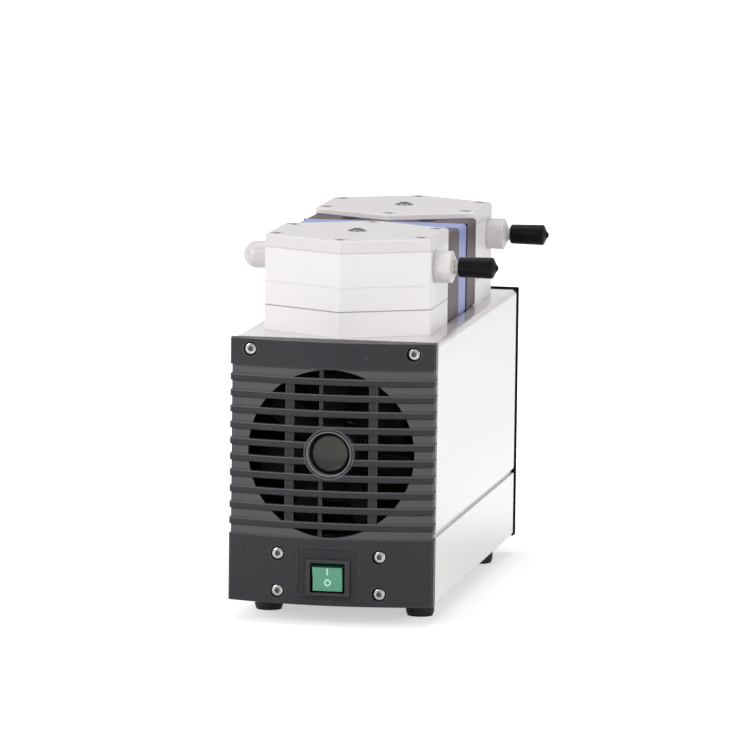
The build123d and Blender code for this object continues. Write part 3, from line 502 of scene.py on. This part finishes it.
finishes = {
    "black_moulding": finish(
        "Textured black moulding", (0.029, 0.0255, 0.031), 0.34, 0.48, drift=0.2, patch=26.0,
        wear_and_highlight=(0.15, 0.145, 0.155), wear_and_highlight_amount=0.9, edge_width=0.0007, soft_edge=0.0005,
        grain=1500.0, grain_depth=0.00007,
        Specular_IOR_Level=0.22,
    ),
    "white_sheet": finish(
        "Gloss white paint", (0.645, 0.612, 0.607), 0.05, 0.09, drift=0.012, patch=9.0,
        soft_edge=0.0012, grain=420.0, grain_depth=0.000008, Specular_IOR_Level=0.45,
    ),
    "foot_rubber": finish(
        "Foot rubber", (0.016, 0.016, 0.018), 0.55, 0.75, drift=0.2, patch=90.0,
        wear_and_highlight=(0.05, 0.05, 0.05), grain=1600.0, grain_depth=0.00005, Specular_IOR_Level=0.25,
    ),
    # the pale rim colour is a painted highlight
    "steel_screw": finish(
        "Bright plated screw", (0.34, 0.335, 0.33), 0.1, 0.2, drift=0.35, patch=420.0, soft_edge=0.00025,
        wear_and_highlight=(0.75, 0.745, 0.735), wear_and_highlight_amount=0.9, edge_width=0.0004,
        lines=(300.0, 300.0, 4000.0), lines_depth=0.00002, Metallic=1.0,
    ),
    # painted shade in the screw sockets
    "screw_socket_shade": finish(
        "Screw socket in painted shade", (0.11, 0.108, 0.11), 0.35, 0.5, drift=0.3, patch=600.0, soft_edge=0.0001,
        Metallic=0.6, Specular_IOR_Level=0.1,
    ),
    # the near-white rims and the strong tone patches are painted reflections
    "centre_screw": finish(
        "Polished dark screw", (0.12, 0.118, 0.12), 0.06, 0.12, drift=0.5, patch=500.0, soft_edge=0.0002,
        wear_and_highlight=(0.85, 0.84, 0.83), wear_and_highlight_amount=1.0, edge_width=0.0005, Metallic=1.0,
    ),
    # painted shade: a darker copy of the black moulding, without gloss
    "rear_moulding": finish(
        "Black rear moulding in painted shade", (0.011, 0.0102, 0.0113), 0.4, 0.55, drift=0.2, patch=26.0,
        wear_and_highlight=(0.03, 0.029, 0.031), wear_and_highlight_amount=0.6, edge_width=0.0007, grain=1500.0, grain_depth=0.00007,
        Specular_IOR_Level=0.0,
    ),
    # painted shade: castings inside the housing are made near black
    "inner_casting_shade": finish(
        "Casting in painted shade", (0.035, 0.031, 0.038), 0.6, 0.75, drift=0.2, patch=60.0, grain=700.0,
        grain_depth=0.00008, Specular_IOR_Level=0.02,
    ),
    "switch_black": finish(
        "Satin black nylon", (0.021, 0.021, 0.022), 0.34, 0.46, drift=0.12, patch=80.0,
        wear_and_highlight=(0.09, 0.09, 0.09), wear_and_highlight_amount=0.9, grain=2200.0, grain_depth=0.00002, Specular_IOR_Level=0.3,
    ),
    # the pale rim colour is a painted highlight
    "rocker_green": finish(
        "Translucent green rocker", (0.07, 0.33, 0.2), 0.12, 0.22, drift=0.2, patch=160.0,
        wear_and_highlight=(0.3, 0.62, 0.46), wear_and_highlight_amount=1.0, edge_width=0.0005, soft_edge=0.0003,
        Subsurface_Weight=0.3, Subsurface_Radius=(0.001, 0.005, 0.003), Subsurface_Scale=0.4,
        Coat_Weight=0.5,
    ),
    # painted shade: a dark copy of the rocker green for its flanks
    "rocker_flank_shade": finish(
        "Rocker flank in painted shade", (0.004, 0.045, 0.025), 0.15, 0.25, drift=0.2, patch=160.0,
        soft_edge=0.0003, Specular_IOR_Level=0.35,
    ),
    "symbol_pale": finish(
        "Pale green symbol ink", (0.46, 0.86, 0.66), 0.35, 0.45, drift=0.06, patch=400.0, soft_edge=0.0001,
    ),
    "inlet_black": finish(
        "Inlet nylon", (0.02, 0.02, 0.021), 0.34, 0.46, drift=0.12, patch=70.0,
        wear_and_highlight=(0.06, 0.06, 0.06), grain=1900.0, grain_depth=0.00003, Specular_IOR_Level=0.3,
    ),
    "pin_brass": finish(
        "Nickelled brass pins", (0.72, 0.66, 0.5), 0.2, 0.34, drift=0.1, patch=200.0,
        lines=(400.0, 30.0, 400.0), Metallic=1.0,
    ),
    "cast_aluminium": finish(
        "Cast aluminium", (0.3, 0.3, 0.31), 0.42, 0.6, drift=0.14, patch=60.0,
        wear_and_highlight=(0.5, 0.5, 0.51), wear_and_highlight_amount=0.7, grain=700.0, grain_depth=0.00012, Metallic=0.9,
    ),
    "shaft_steel": finish(
        "Ground steel", (0.5, 0.5, 0.51), 0.2, 0.34, drift=0.08, patch=120.0,
        lines=(60.0, 3000.0, 60.0), lines_depth=0.00001, Metallic=1.0,
    ),
    "lamination": finish(
        "Stacked laminations", (0.15, 0.15, 0.16), 0.4, 0.55, drift=0.2, patch=60.0,
        lines=(25.0, 2600.0, 25.0), lines_depth=0.00006, Metallic=0.7,
    ),
    "copper_winding": finish(
        "Lacquered copper wire", (0.42, 0.16, 0.055), 0.22, 0.36, drift=0.25, patch=110.0,
        lines=(1100.0, 160.0, 1100.0), lines_depth=0.0003, Metallic=0.75, Coat_Weight=0.5,
    ),
    "fan_plastic": finish(
        "Smoked fan plastic", (0.02, 0.0175, 0.022), 0.5, 0.65, drift=0.2, patch=50.0,
        wear_and_highlight=(0.04, 0.037, 0.042), wear_and_highlight_amount=0.3, grain=1300.0, grain_depth=0.00003, Specular_IOR_Level=0.0,
    ),
    # the pale rim colour is a painted highlight, the crescent on the dished rim
    "hub_face": finish(
        "Brown-black hub moulding", (0.013, 0.0105, 0.009), 0.14, 0.24, drift=0.2, patch=80.0,
        soft_edge=0.0004, wear_and_highlight=(0.2, 0.19, 0.17), wear_and_highlight_amount=0.8, edge_width=0.0005, grain=700.0,
        grain_depth=0.00002, Specular_IOR_Level=0.4,
    ),
    "capacitor_case": finish(
        "Drawn aluminium can", (0.6, 0.6, 0.61), 0.25, 0.38, drift=0.08, patch=60.0,
        lines=(900.0, 20.0, 900.0), Metallic=1.0,
    ),
    "head_white": finish(
        "Machined white fluoropolymer", (0.83, 0.805, 0.805), 0.34, 0.46, drift=0.018, patch=16.0,
        soft_edge=0.0003, grain=260.0, grain_depth=0.00001,
        lines=(12.0, 12.0, 1400.0), lines_depth=0.000008,
        Subsurface_Weight=0.2, Subsurface_Radius=(0.004, 0.004, 0.004), Subsurface_Scale=0.5,
    ),
    "top_plate_white": finish(
        "Milled white top plate", (0.67, 0.635, 0.637), 0.34, 0.46, drift=0.02, patch=16.0,
        soft_edge=0.0007, grain=260.0, grain_depth=0.00001, lines=(700.0, 24.0, 24.0), lines_depth=0.000006,
        Subsurface_Weight=0.15, Subsurface_Radius=(0.004, 0.004, 0.004), Subsurface_Scale=0.5,
    ),
    "fitting_white": finish(
        "Milky fitting plastic", (0.665, 0.635, 0.63), 0.22, 0.34, drift=0.03, patch=60.0, soft_edge=0.0005,
        grain=900.0, grain_depth=0.00001,
        Subsurface_Weight=0.6, Subsurface_Radius=(0.006, 0.006, 0.0055), Subsurface_Scale=1.0,
    ),
    "diaphragm_rubber": finish(
        "Black moulded rubber", (0.03, 0.03, 0.031), 0.45, 0.6, drift=0.15, patch=60.0,
        wear_and_highlight=(0.08, 0.08, 0.08), grain=1200.0, grain_depth=0.00004,
    ),
    "cap_vinyl": finish(
        "Dipped black vinyl", (0.0045, 0.0042, 0.0055), 0.2, 0.34, drift=0.3, patch=110.0, soft_edge=0.0006,
        wear_and_highlight=(0.03, 0.03, 0.032), wear_and_highlight_amount=0.6, grain=420.0, grain_depth=0.00005, Specular_IOR_Level=0.06,
        Coat_Weight=0.05, Coat_Roughness=0.06,
    ),
    "bridge_grey": finish(
        "Grey filled plastic", (0.1, 0.073, 0.085), 0.36, 0.48, drift=0.12, patch=35.0,
        wear_and_highlight=(0.27, 0.25, 0.25), wear_and_highlight_amount=0.6, grain=900.0, grain_depth=0.00004, Specular_IOR_Level=0.05,
    ),
    "bridge_blue": finish(
        "Lavender blue plastic", (0.25, 0.305, 0.62), 0.32, 0.44, drift=0.08, patch=35.0,
        wear_and_highlight=(0.38, 0.41, 0.66), wear_and_highlight_amount=0.6, grain=900.0, grain_depth=0.00003, Specular_IOR_Level=0.11,
    ),
    "gasket_black": finish(
        "Black gasket", (0.006, 0.006, 0.007), 0.5, 0.65, drift=0.2, patch=80.0, soft_edge=0.0001,
        grain=1500.0, grain_depth=0.00004, Specular_IOR_Level=0.1,
    ),
    "tube_white": finish(
        "Fluoropolymer tube", (0.8, 0.79, 0.78), 0.3, 0.4, drift=0.05, patch=60.0, grain=700.0,
        Subsurface_Weight=0.4, Subsurface_Radius=(0.004, 0.004, 0.004), Subsurface_Scale=0.5,
    ),
}
add_ridges(finishes["rocker_green"], 0, 0.0013, 0.00008, 0.8)
add_ridges(finishes["lamination"], 1, 0.0005, 0.00004, 0.6)

add_flecks(finishes["black_moulding"], (0.16, 0.15, 0.16), 0.55)
add_flecks(finishes["cap_vinyl"], (0.06, 0.06, 0.065), 0.4, scale=1300.0, patch=120.0)

# its pale edges are partly rub wear and partly a painted highlight
finishes["front_moulding"] = finish(
    "Textured black front moulding", (0.0245, 0.0213, 0.0263), 0.34, 0.48, drift=0.2, patch=26.0,
    wear_and_highlight=(0.16, 0.155, 0.165), wear_and_highlight_amount=1.0, edge_width=0.0008, soft_edge=0.0005,
    grain=1500.0, grain_depth=0.00007,
    Specular_IOR_Level=0.22,
)
dress_front_moulding(finishes["front_moulding"])
add_flecks(finishes["front_moulding"], (0.17, 0.16, 0.17), 0.45)
dress_sheet(finishes["white_sheet"])
# painted light on the upright faces of the top plates
paint_light_on_plate_sides(finishes["top_plate_white"], (0.735, 0.705, 0.705))

seam_levels = [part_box(node)[0][2] for node in ("valve_plate_front", "port_block_front", "top_plate_front")]
# painted shadow lines at the lower faces of the valve plate and the top plate
add_joint_shadows(
    finishes["head_white"], (0.2, 0.18, 0.18),
    (seam_levels[0], 0.0006, 1.0), (seam_levels[2], 0.0005, 0.5),
)

special_finish = {
    "front_panel": "front_moulding",
    "top_plate_front": "top_plate_white",
    "top_plate_rear": "top_plate_white",
    "bridge_plugs": "gasket_black",
    "rear_panel": "rear_moulding",
    # the castings behind the grille take the near black painted shade
    "crankcase_front": "inner_casting_shade",
    "end_shield_front": "inner_casting_shade",
}
for part in frame["record"]["subparts"]:
    mesh = frame["nodes"][part["node"]].data
    mesh.materials.clear()
    mesh.materials.append(finishes[special_finish.get(part["node"], part["material_slot"])])


# ---------------------------------------------------------------- new pieces


def keep(name, shape, body, *materials):
    """Turns a bmesh into a piece that rides on a body and wears the given materials."""
    bmesh.ops.recalc_face_normals(shape, faces=shape.faces)
    mesh = bpy.data.meshes.new(name)
    shape.to_mesh(mesh)
    shape.free()
    piece = bpy.data.objects.new(name, mesh)
    bpy.context.scene.collection.objects.link(piece)
    for material in materials:
        mesh.materials.append(finishes[material])
    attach(piece, body)
    return piece


def round_edges(shape, edges, radius, segments=3):
    """Rounds some edges of a bmesh."""
    bmesh.ops.bevel(
        shape, geom=edges, offset=radius, affect="EDGES", segments=segments, profile=0.5, material=-1,
        offset_type="OFFSET",
    )


def smooth(piece, angle=35.0):
    """Smooth shading that keeps the edges sharper than an angle."""
    piece.data.shade_smooth()
    piece.data.set_sharp_from_angle(angle=radians(angle))


def verts_of(geometry):
    """Vertices among the geometry that an operator returns."""
    return [item for item in geometry if isinstance(item, bmesh.types.BMVert)]


def edges_of(geometry):
    """Edges among the geometry that an operator returns."""
    return [item for item in geometry if isinstance(item, bmesh.types.BMEdge)]


frame_low, frame_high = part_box("switch_frame")
pivot_depth = 4.8 * mm
rest_tilt = radians(9.0)
pivot = Vector((
    (frame_low[0] + frame_high[0]) / 2,
    frame_low[1] + pivot_depth,
    (frame_low[2] + frame_high[2]) / 2,
))
rocker_pose = Matrix.Translation(pivot) @ Matrix.Rotation(rest_tilt, 4, "X")
slope_angle = radians(8.65)
fold_y = -3.6 * mm


def make_rocker():
    """Rocker with a pale two-slope face, rounded rims and flanks that widen backwards, their deep green
    painted shade.
    """
    half_width = 10.35 * mm
    half_height = 8.55 * mm
    rise = half_height * tan(slope_angle)
    shape = bmesh.new()
    levels = ((fold_y - rise, half_height), (fold_y, 0.0), (fold_y - rise, -half_height))
    rows = [[shape.verts.new((side * half_width, y, z)) for side in (-1, 1)] for y, z in levels]
    for upper, lower in zip(rows, rows[1:]):
        shape.faces.new((upper[0], upper[1], lower[1], lower[0]))
    rim = [edge for edge in shape.edges if edge.is_boundary]
    for depth, spread in ((2.2 * mm, 1.1 * mm), (4.0 * mm, 0.2 * mm)):
        flank = bmesh.ops.extrude_edge_only(shape, edges=rim)["geom"]
        for vert in verts_of(flank):
            vert.co.x += spread if vert.co.x > 0 else -spread
            vert.co.z += (spread if vert.co.z > 0 else -spread) * 0.55 if abs(vert.co.z) > mm else 0
            vert.co.y += depth
        rim = [edge for edge in edges_of(flank) if edge.is_boundary]
    bmesh.ops.contextual_create(shape, geom=rim)
    shape.faces.ensure_lookup_table()
    # the flanks take the second material, whose deep green is painted shade
    for face in shape.faces[2:]:
        face.material_index = 1
    front_rim = [
        edge for edge in shape.edges if len({face.material_index for face in edge.link_faces}) == 2
    ]
    round_edges(shape, front_rim, 0.45 * mm)
    bmesh.ops.transform(shape, matrix=rocker_pose, verts=shape.verts)
    piece = keep("rocker_moulding", shape, "rocker", "rocker_green", "rocker_flank_shade")
    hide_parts("switch_rocker")
    smooth(piece)


def make_switch_marks():
    """The on stroke on the upper slope and the off ring on the lower slope, as thin raised ink."""
    ink = 0.06 * mm
    for name, side, height in (("mark_on", 1, 5.2 * mm), ("mark_off", -1, -2.6 * mm)):
        shape = bmesh.new()
        if side > 0:
            bmesh.ops.create_cube(shape, size=1.0, matrix=Matrix.Diagonal((1.2 * mm, 2 * ink, 5.3 * mm, 1)))
            deep = [edge for edge in shape.edges if abs((edge.verts[0].co - edge.verts[1].co).y) > ink]
            round_edges(shape, deep, 0.3 * mm)
        else:
            section = ((1.4, -ink), (2.4, -ink), (2.4, ink), (1.4, ink))
            ring = shape.faces.new([shape.verts.new((x * mm, y, 0)) for x, y in section])
            bmesh.ops.spin(
                shape, geom=[ring, *ring.edges, *ring.verts], cent=(0, 0, 0), axis=(0, 1, 0),
                dvec=(0, 0, 0), angle=2 * pi, steps=40, use_merge=True,
            )
            bmesh.ops.remove_doubles(shape, verts=shape.verts, dist=0.001 * mm)
        y = fold_y - abs(height) * tan(slope_angle) - 0.3 * ink
        tilt = Matrix.Rotation(slope_angle * side, 4, "X")
        place = rocker_pose @ Matrix.Translation((0, y, height)) @ tilt
        bmesh.ops.transform(shape, matrix=place, verts=shape.verts)
        smooth(keep(name, shape, "rocker", "symbol_pale"))


def make_hub_face():
    """Dished nose of the fan's hub, which fills the bore of the ring in the grille."""
    back_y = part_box("cooling_fan")[0][1]
    front_y = -9.0
    shape = bmesh.new()
    profile = (
        (0, front_y + 0.9), (8.5, front_y + 0.7), (11.2, front_y + 0.1), (11.7, front_y),
        (12.2, front_y + 0.3), (13.0, front_y + 1.0), (13.2, front_y + 2.0), (13.4, 0.4),
    )
    verts = [shape.verts.new((radius * mm, y * mm, 0)) for radius, y in profile]
    edges = [shape.edges.new(pair) for pair in zip(verts, verts[1:])]
    bmesh.ops.spin(
        shape, geom=verts + edges, cent=(0, 0, 0), axis=(0, 1, 0), dvec=(0, 0, 0),
        angle=2 * pi, steps=64, use_merge=True,
    )
    bmesh.ops.remove_doubles(shape, verts=shape.verts, dist=0.001 * mm)
    back = [edge for edge in shape.edges if edge.is_boundary]
    bmesh.ops.contextual_create(shape, geom=back)
    bmesh.ops.translate(shape, vec=(0, back_y, shaft_z), verts=shape.verts)
    smooth(keep("fan_hub_face", shape, "shaft", "hub_face"))


def make_slab(name, size, place, look):
    """Upright slab with rounded edges, on the pump's body."""
    shape = bmesh.new()
    stretch = Matrix.Diagonal((*size, 1))
    bmesh.ops.create_cube(shape, size=1.0, matrix=Matrix.Translation(place) @ stretch)
    round_edges(shape, list(shape.edges), 0.25 * mm, 2)
    smooth(keep(name, shape, "pump", look))


def make_gasket_beads():
    """Edges of the black gasket in the bridge, pressed out a little past the blocks on both sides."""
    low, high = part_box("bridge_gasket")
    outer = high[0] + 0.5 * mm
    size = (1.5 * mm, high[1] - low[1], high[2] - low[2] - 0.2 * mm)
    for name, side in (("gasket_bead_left", -1), ("gasket_bead_right", 1)):
        place = Vector((side * (outer - size[0] / 2), (low[1] + high[1]) / 2, (low[2] + high[2]) / 2))
        make_slab(name, size, place, "gasket_black")


def separate_boxes(node):
    """Corners of each separate solid in a node."""
    shape = bmesh.new()
    shape.from_mesh(frame["nodes"][node].data)
    bmesh.ops.remove_doubles(shape, verts=shape.verts, dist=0.005 * mm)
    unseen = set(shape.verts)
    corners = []
    while unseen:
        island = {unseen.pop()}
        edge_front = set(island)
        while edge_front:
            reached = {edge.other_vert(vert) for vert in edge_front for edge in vert.link_edges} - island
            island |= reached
            edge_front = reached
        unseen -= island
        low = Vector([min(vert.co[axis] for vert in island) for axis in range(3)])
        high = Vector([max(vert.co[axis] for vert in island) for axis in range(3)])
        corners.append((low, high))
    shape.free()
    return corners


def socket_screw(head_radius, head_height, crown, socket_flats, socket_depth):
    """Screw head about its top centre, facing +Z: crowned, with a rounded rim and a hexagonal socket."""
    shape = bmesh.new()
    bmesh.ops.create_circle(shape, segments=6, radius=socket_flats / 2 / cos(pi / 6))
    bmesh.ops.subdivide_edges(shape, edges=list(shape.edges), cuts=3)
    mouth = list(shape.edges)
    outside = ((0.62, 0.12), (0.8, 0.42), (0.92, 0.85), (0.985, 1.4), (1.0, 2.2))
    ring = mouth
    for part, drop in outside:
        grown = bmesh.ops.extrude_edge_only(shape, edges=ring)["geom"]
        for vert in verts_of(grown):
            flat = Vector((vert.co.x, vert.co.y)).normalized() * head_radius * part
            vert.co = Vector((flat.x, flat.y, -crown * drop / 2.2))
        ring = [edge for edge in edges_of(grown) if len(edge.link_faces) == 1]
    skirt = bmesh.ops.extrude_edge_only(shape, edges=ring)["geom"]
    for vert in verts_of(skirt):
        vert.co.z = -head_height
    bmesh.ops.contextual_create(shape, geom=[edge for edge in edges_of(skirt) if edge.is_boundary])
    walls = bmesh.ops.extrude_edge_only(shape, edges=mouth)["geom"]
    floor_verts = verts_of(walls)
    bmesh.ops.translate(shape, vec=(0, 0, -socket_depth), verts=floor_verts)
    floor_edges = [edge for edge in edges_of(walls) if edge.is_boundary]
    floor = bmesh.ops.contextual_create(shape, geom=floor_edges)["faces"]
    # the socket's walls and floor take the second material, darkened as painted shade
    for face in floor + [face for vert in floor_verts for face in vert.link_faces]:
        face.material_index = 1
    return shape


def make_screws(
    name, node, look, direction, turn, head_radius, head_height, crown, socket_flats, socket_depth,
):
    """Detailed screw heads at the solids of a node whose heads face one direction."""
    template = bpy.data.meshes.new(name + "_template")
    one = socket_screw(head_radius, head_height, crown, socket_flats, socket_depth)
    bmesh.ops.recalc_face_normals(one, faces=one.faces)
    one.to_mesh(template)
    one.free()
    shape = bmesh.new()
    direction = Vector(direction)
    for count, (low, high) in enumerate(separate_boxes(node)):
        middle = (low + high) / 2
        if direction.y and middle.y * direction.y < 0:
            continue
        tip = middle.copy()
        for axis in range(3):
            if direction[axis]:
                tip[axis] = high[axis] if direction[axis] > 0 else low[axis]
        before = set(shape.verts)
        shape.from_mesh(template)
        fresh = [vert for vert in shape.verts if vert not in before]
        spin = Matrix.Rotation(radians(turn + 23.0 * count), 4, "Z")
        aim = direction.to_track_quat("Z", "Y").to_matrix().to_4x4()
        bmesh.ops.transform(shape, matrix=Matrix.Translation(tip) @ aim @ spin, verts=fresh)
    bpy.data.meshes.remove(template)
    piece = keep(name, shape, "pump", look, "screw_socket_shade")
    smooth(piece, 40.0)
    return piece


def make_all_screws():
    """Screws of the two mouldings, the six corners of each head and the middle of each head."""
    panel_size = (4.15 * mm, 2.6 * mm, 0.9 * mm, 3.6 * mm, 2 * mm)
    front = make_screws("front_panel_screws", "panel_screws", "steel_screw", (0, -1, 0), 12, *panel_size)
    make_screws("rear_panel_screws", "panel_screws", "steel_screw", (0, 1, 0), 5, *panel_size)
    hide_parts("panel_screws")
    corner_size = (4.35 * mm, 3 * mm, 1.0 * mm, 4.4 * mm, 2 * mm)
    corners = make_screws("head_corner_screws", "head_screws", "steel_screw", (0, 0, 1), 9, *corner_size)
    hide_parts("head_screws")
    centre_size = (5.6 * mm, 3.8 * mm, 1.3 * mm, 6.2 * mm, 2.2 * mm)
    middles = make_screws("head_middle_screws", "centre_screws", "centre_screw", (0, 0, 1), 3, *centre_size)
    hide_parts("centre_screws")


def make_rear_skirts():
    """Upright side walls of the rear moulding, flush with the ends of its slats."""
    low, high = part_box("rear_panel")
    outer = high[0] + 0.1 * mm
    size = (1.6 * mm, high[1] - low[1] - 2 * mm, high[2] - low[2] - 2 * mm)
    middle_y = (low[1] + high[1]) / 2 - 2 * mm
    for name, side in (("rear_skirt_left", -1), ("rear_skirt_right", 1)):
        place = Vector((side * (outer - size[0] / 2), middle_y, (low[2] + high[2]) / 2))
        make_slab(name, size, place, "rear_moulding")


make_rocker()
make_switch_marks()
make_hub_face()
make_gasket_beads()
make_all_screws()
make_rear_skirts()


# ---------------------------------------------------------------- studio

def studio_floor():
    """Pale floor that shows white and keeps the pump's soft shadow."""
    shape = bmesh.new()
    bmesh.ops.create_grid(shape, x_segments=1, y_segments=1, size=6.0)
    mesh = bpy.data.meshes.new("floor")
    shape.to_mesh(mesh)
    shape.free()
    floor = bpy.data.objects.new("floor", mesh)
    bpy.context.scene.collection.objects.link(floor)
    material = bpy.data.materials.new("Pale floor")
    material.use_nodes = True
    tree = material.node_tree
    tree.nodes.remove(tree.nodes["Principled BSDF"])
    paint = tree.nodes.new("ShaderNodeBsdfDiffuse")
    paint.inputs["Color"].default_value = (0.8, 0.8, 0.8, 1)
    glow = tree.nodes.new("ShaderNodeEmission")
    place = tree.nodes.new("ShaderNodeTexCoord").outputs["Object"]
    reach = tree.nodes.new("ShaderNodeVectorMath")
    reach.operation = "LENGTH"
    tree.links.new(place, reach.inputs[0])
    fade = map_range(tree, reach.outputs["Value"], 0.16, 0.42, 0.48, 1.0, eased=True)
    tree.links.new(fade, glow.inputs["Strength"])
    rays = tree.nodes.new("ShaderNodeLightPath")
    seen = math_node(tree, "MAXIMUM", rays.outputs["Is Camera Ray"], rays.outputs["Is Glossy Ray"])
    seen = math_node(tree, "MAXIMUM", seen, rays.outputs["Is Transmission Ray"])
    both = tree.nodes.new("ShaderNodeAddShader")
    tree.links.new(paint.outputs[0], both.inputs[0])
    tree.links.new(glow.outputs[0], both.inputs[1])
    choice = tree.nodes.new("ShaderNodeMixShader")
    tree.links.new(seen, choice.inputs["Fac"])
    tree.links.new(paint.outputs[0], choice.inputs[1])
    tree.links.new(both.outputs[0], choice.inputs[2])
    tree.links.new(choice.outputs[0], tree.nodes["Material Output"].inputs["Surface"])
    mesh.materials.append(material)


world_level = 0.42


def studio_world():
    """Soft white surroundings, seen as white by the camera and in reflections."""
    world = bpy.data.worlds.new("Studio")
    bpy.context.scene.world = world
    world.use_nodes = True
    tree = world.node_tree
    background = tree.nodes["Background"]
    background.inputs["Color"].default_value = (1, 1, 1, 1)
    rays = tree.nodes.new("ShaderNodeLightPath")
    seen = math_node(tree, "MAXIMUM", rays.outputs["Is Camera Ray"], rays.outputs["Is Glossy Ray"])
    seen = math_node(tree, "MAXIMUM", seen, rays.outputs["Is Transmission Ray"])
    strength = math_node(tree, "ADD", math_node(tree, "MULTIPLY", seen, 1 - world_level), world_level)
    tree.links.new(strength, background.inputs["Strength"])


def softbox(name, place, target, width, height, power):
    """Rectangular lamp aimed at a point."""
    data = bpy.data.lights.new(name, "AREA")
    data.shape = "RECTANGLE"
    data.size = width
    data.size_y = height
    data.energy = power
    lamp = bpy.data.objects.new(name, data)
    lamp.location = place
    lamp.rotation_euler = (Vector(target) - Vector(place)).to_track_quat("-Z", "Y").to_euler()
    bpy.context.scene.collection.objects.link(lamp)


def studio_camera():
    """Long lens to the right of the front, a little above the pump."""
    azimuth, elevation, roll = radians(10.659), radians(7.552), radians(0.72)
    focal_in_frames = 9.0309
    distance = 4.7612
    aim = Vector((-0.0028, 0.0, 0.1491))
    back = Vector((sin(azimuth) * cos(elevation), -cos(azimuth) * cos(elevation), sin(elevation)))
    level = Vector((cos(azimuth), sin(azimuth), 0))
    upright = level.cross(-back)
    right = level * cos(roll) + upright * sin(roll)
    up = upright * cos(roll) - level * sin(roll)
    data = bpy.data.cameras.new("camera")
    data.sensor_width = 36.0
    data.lens = 36.0 * focal_in_frames
    data.clip_end = 50.0
    camera = bpy.data.objects.new("camera", data)
    turned = Matrix((right, up, back)).transposed().to_4x4()
    camera.matrix_world = Matrix.Translation(aim + back * distance) @ turned
    bpy.context.scene.collection.objects.link(camera)
    bpy.context.scene.camera = camera


studio_floor()
studio_world()
softbox("front_left", (-1.6, -2.2, 1.3), (0, 0, 0.15), 1.4, 1.4, 42)
softbox("front_right", (1.9, -1.6, 0.9), (0, 0, 0.12), 1.2, 1.2, 18)
softbox("overhead", (0, 0.2, 2.2), (0, 0, 0.2), 1.6, 1.6, 13)
studio_camera()
bpy.context.scene.view_settings.view_transform = "Standard"
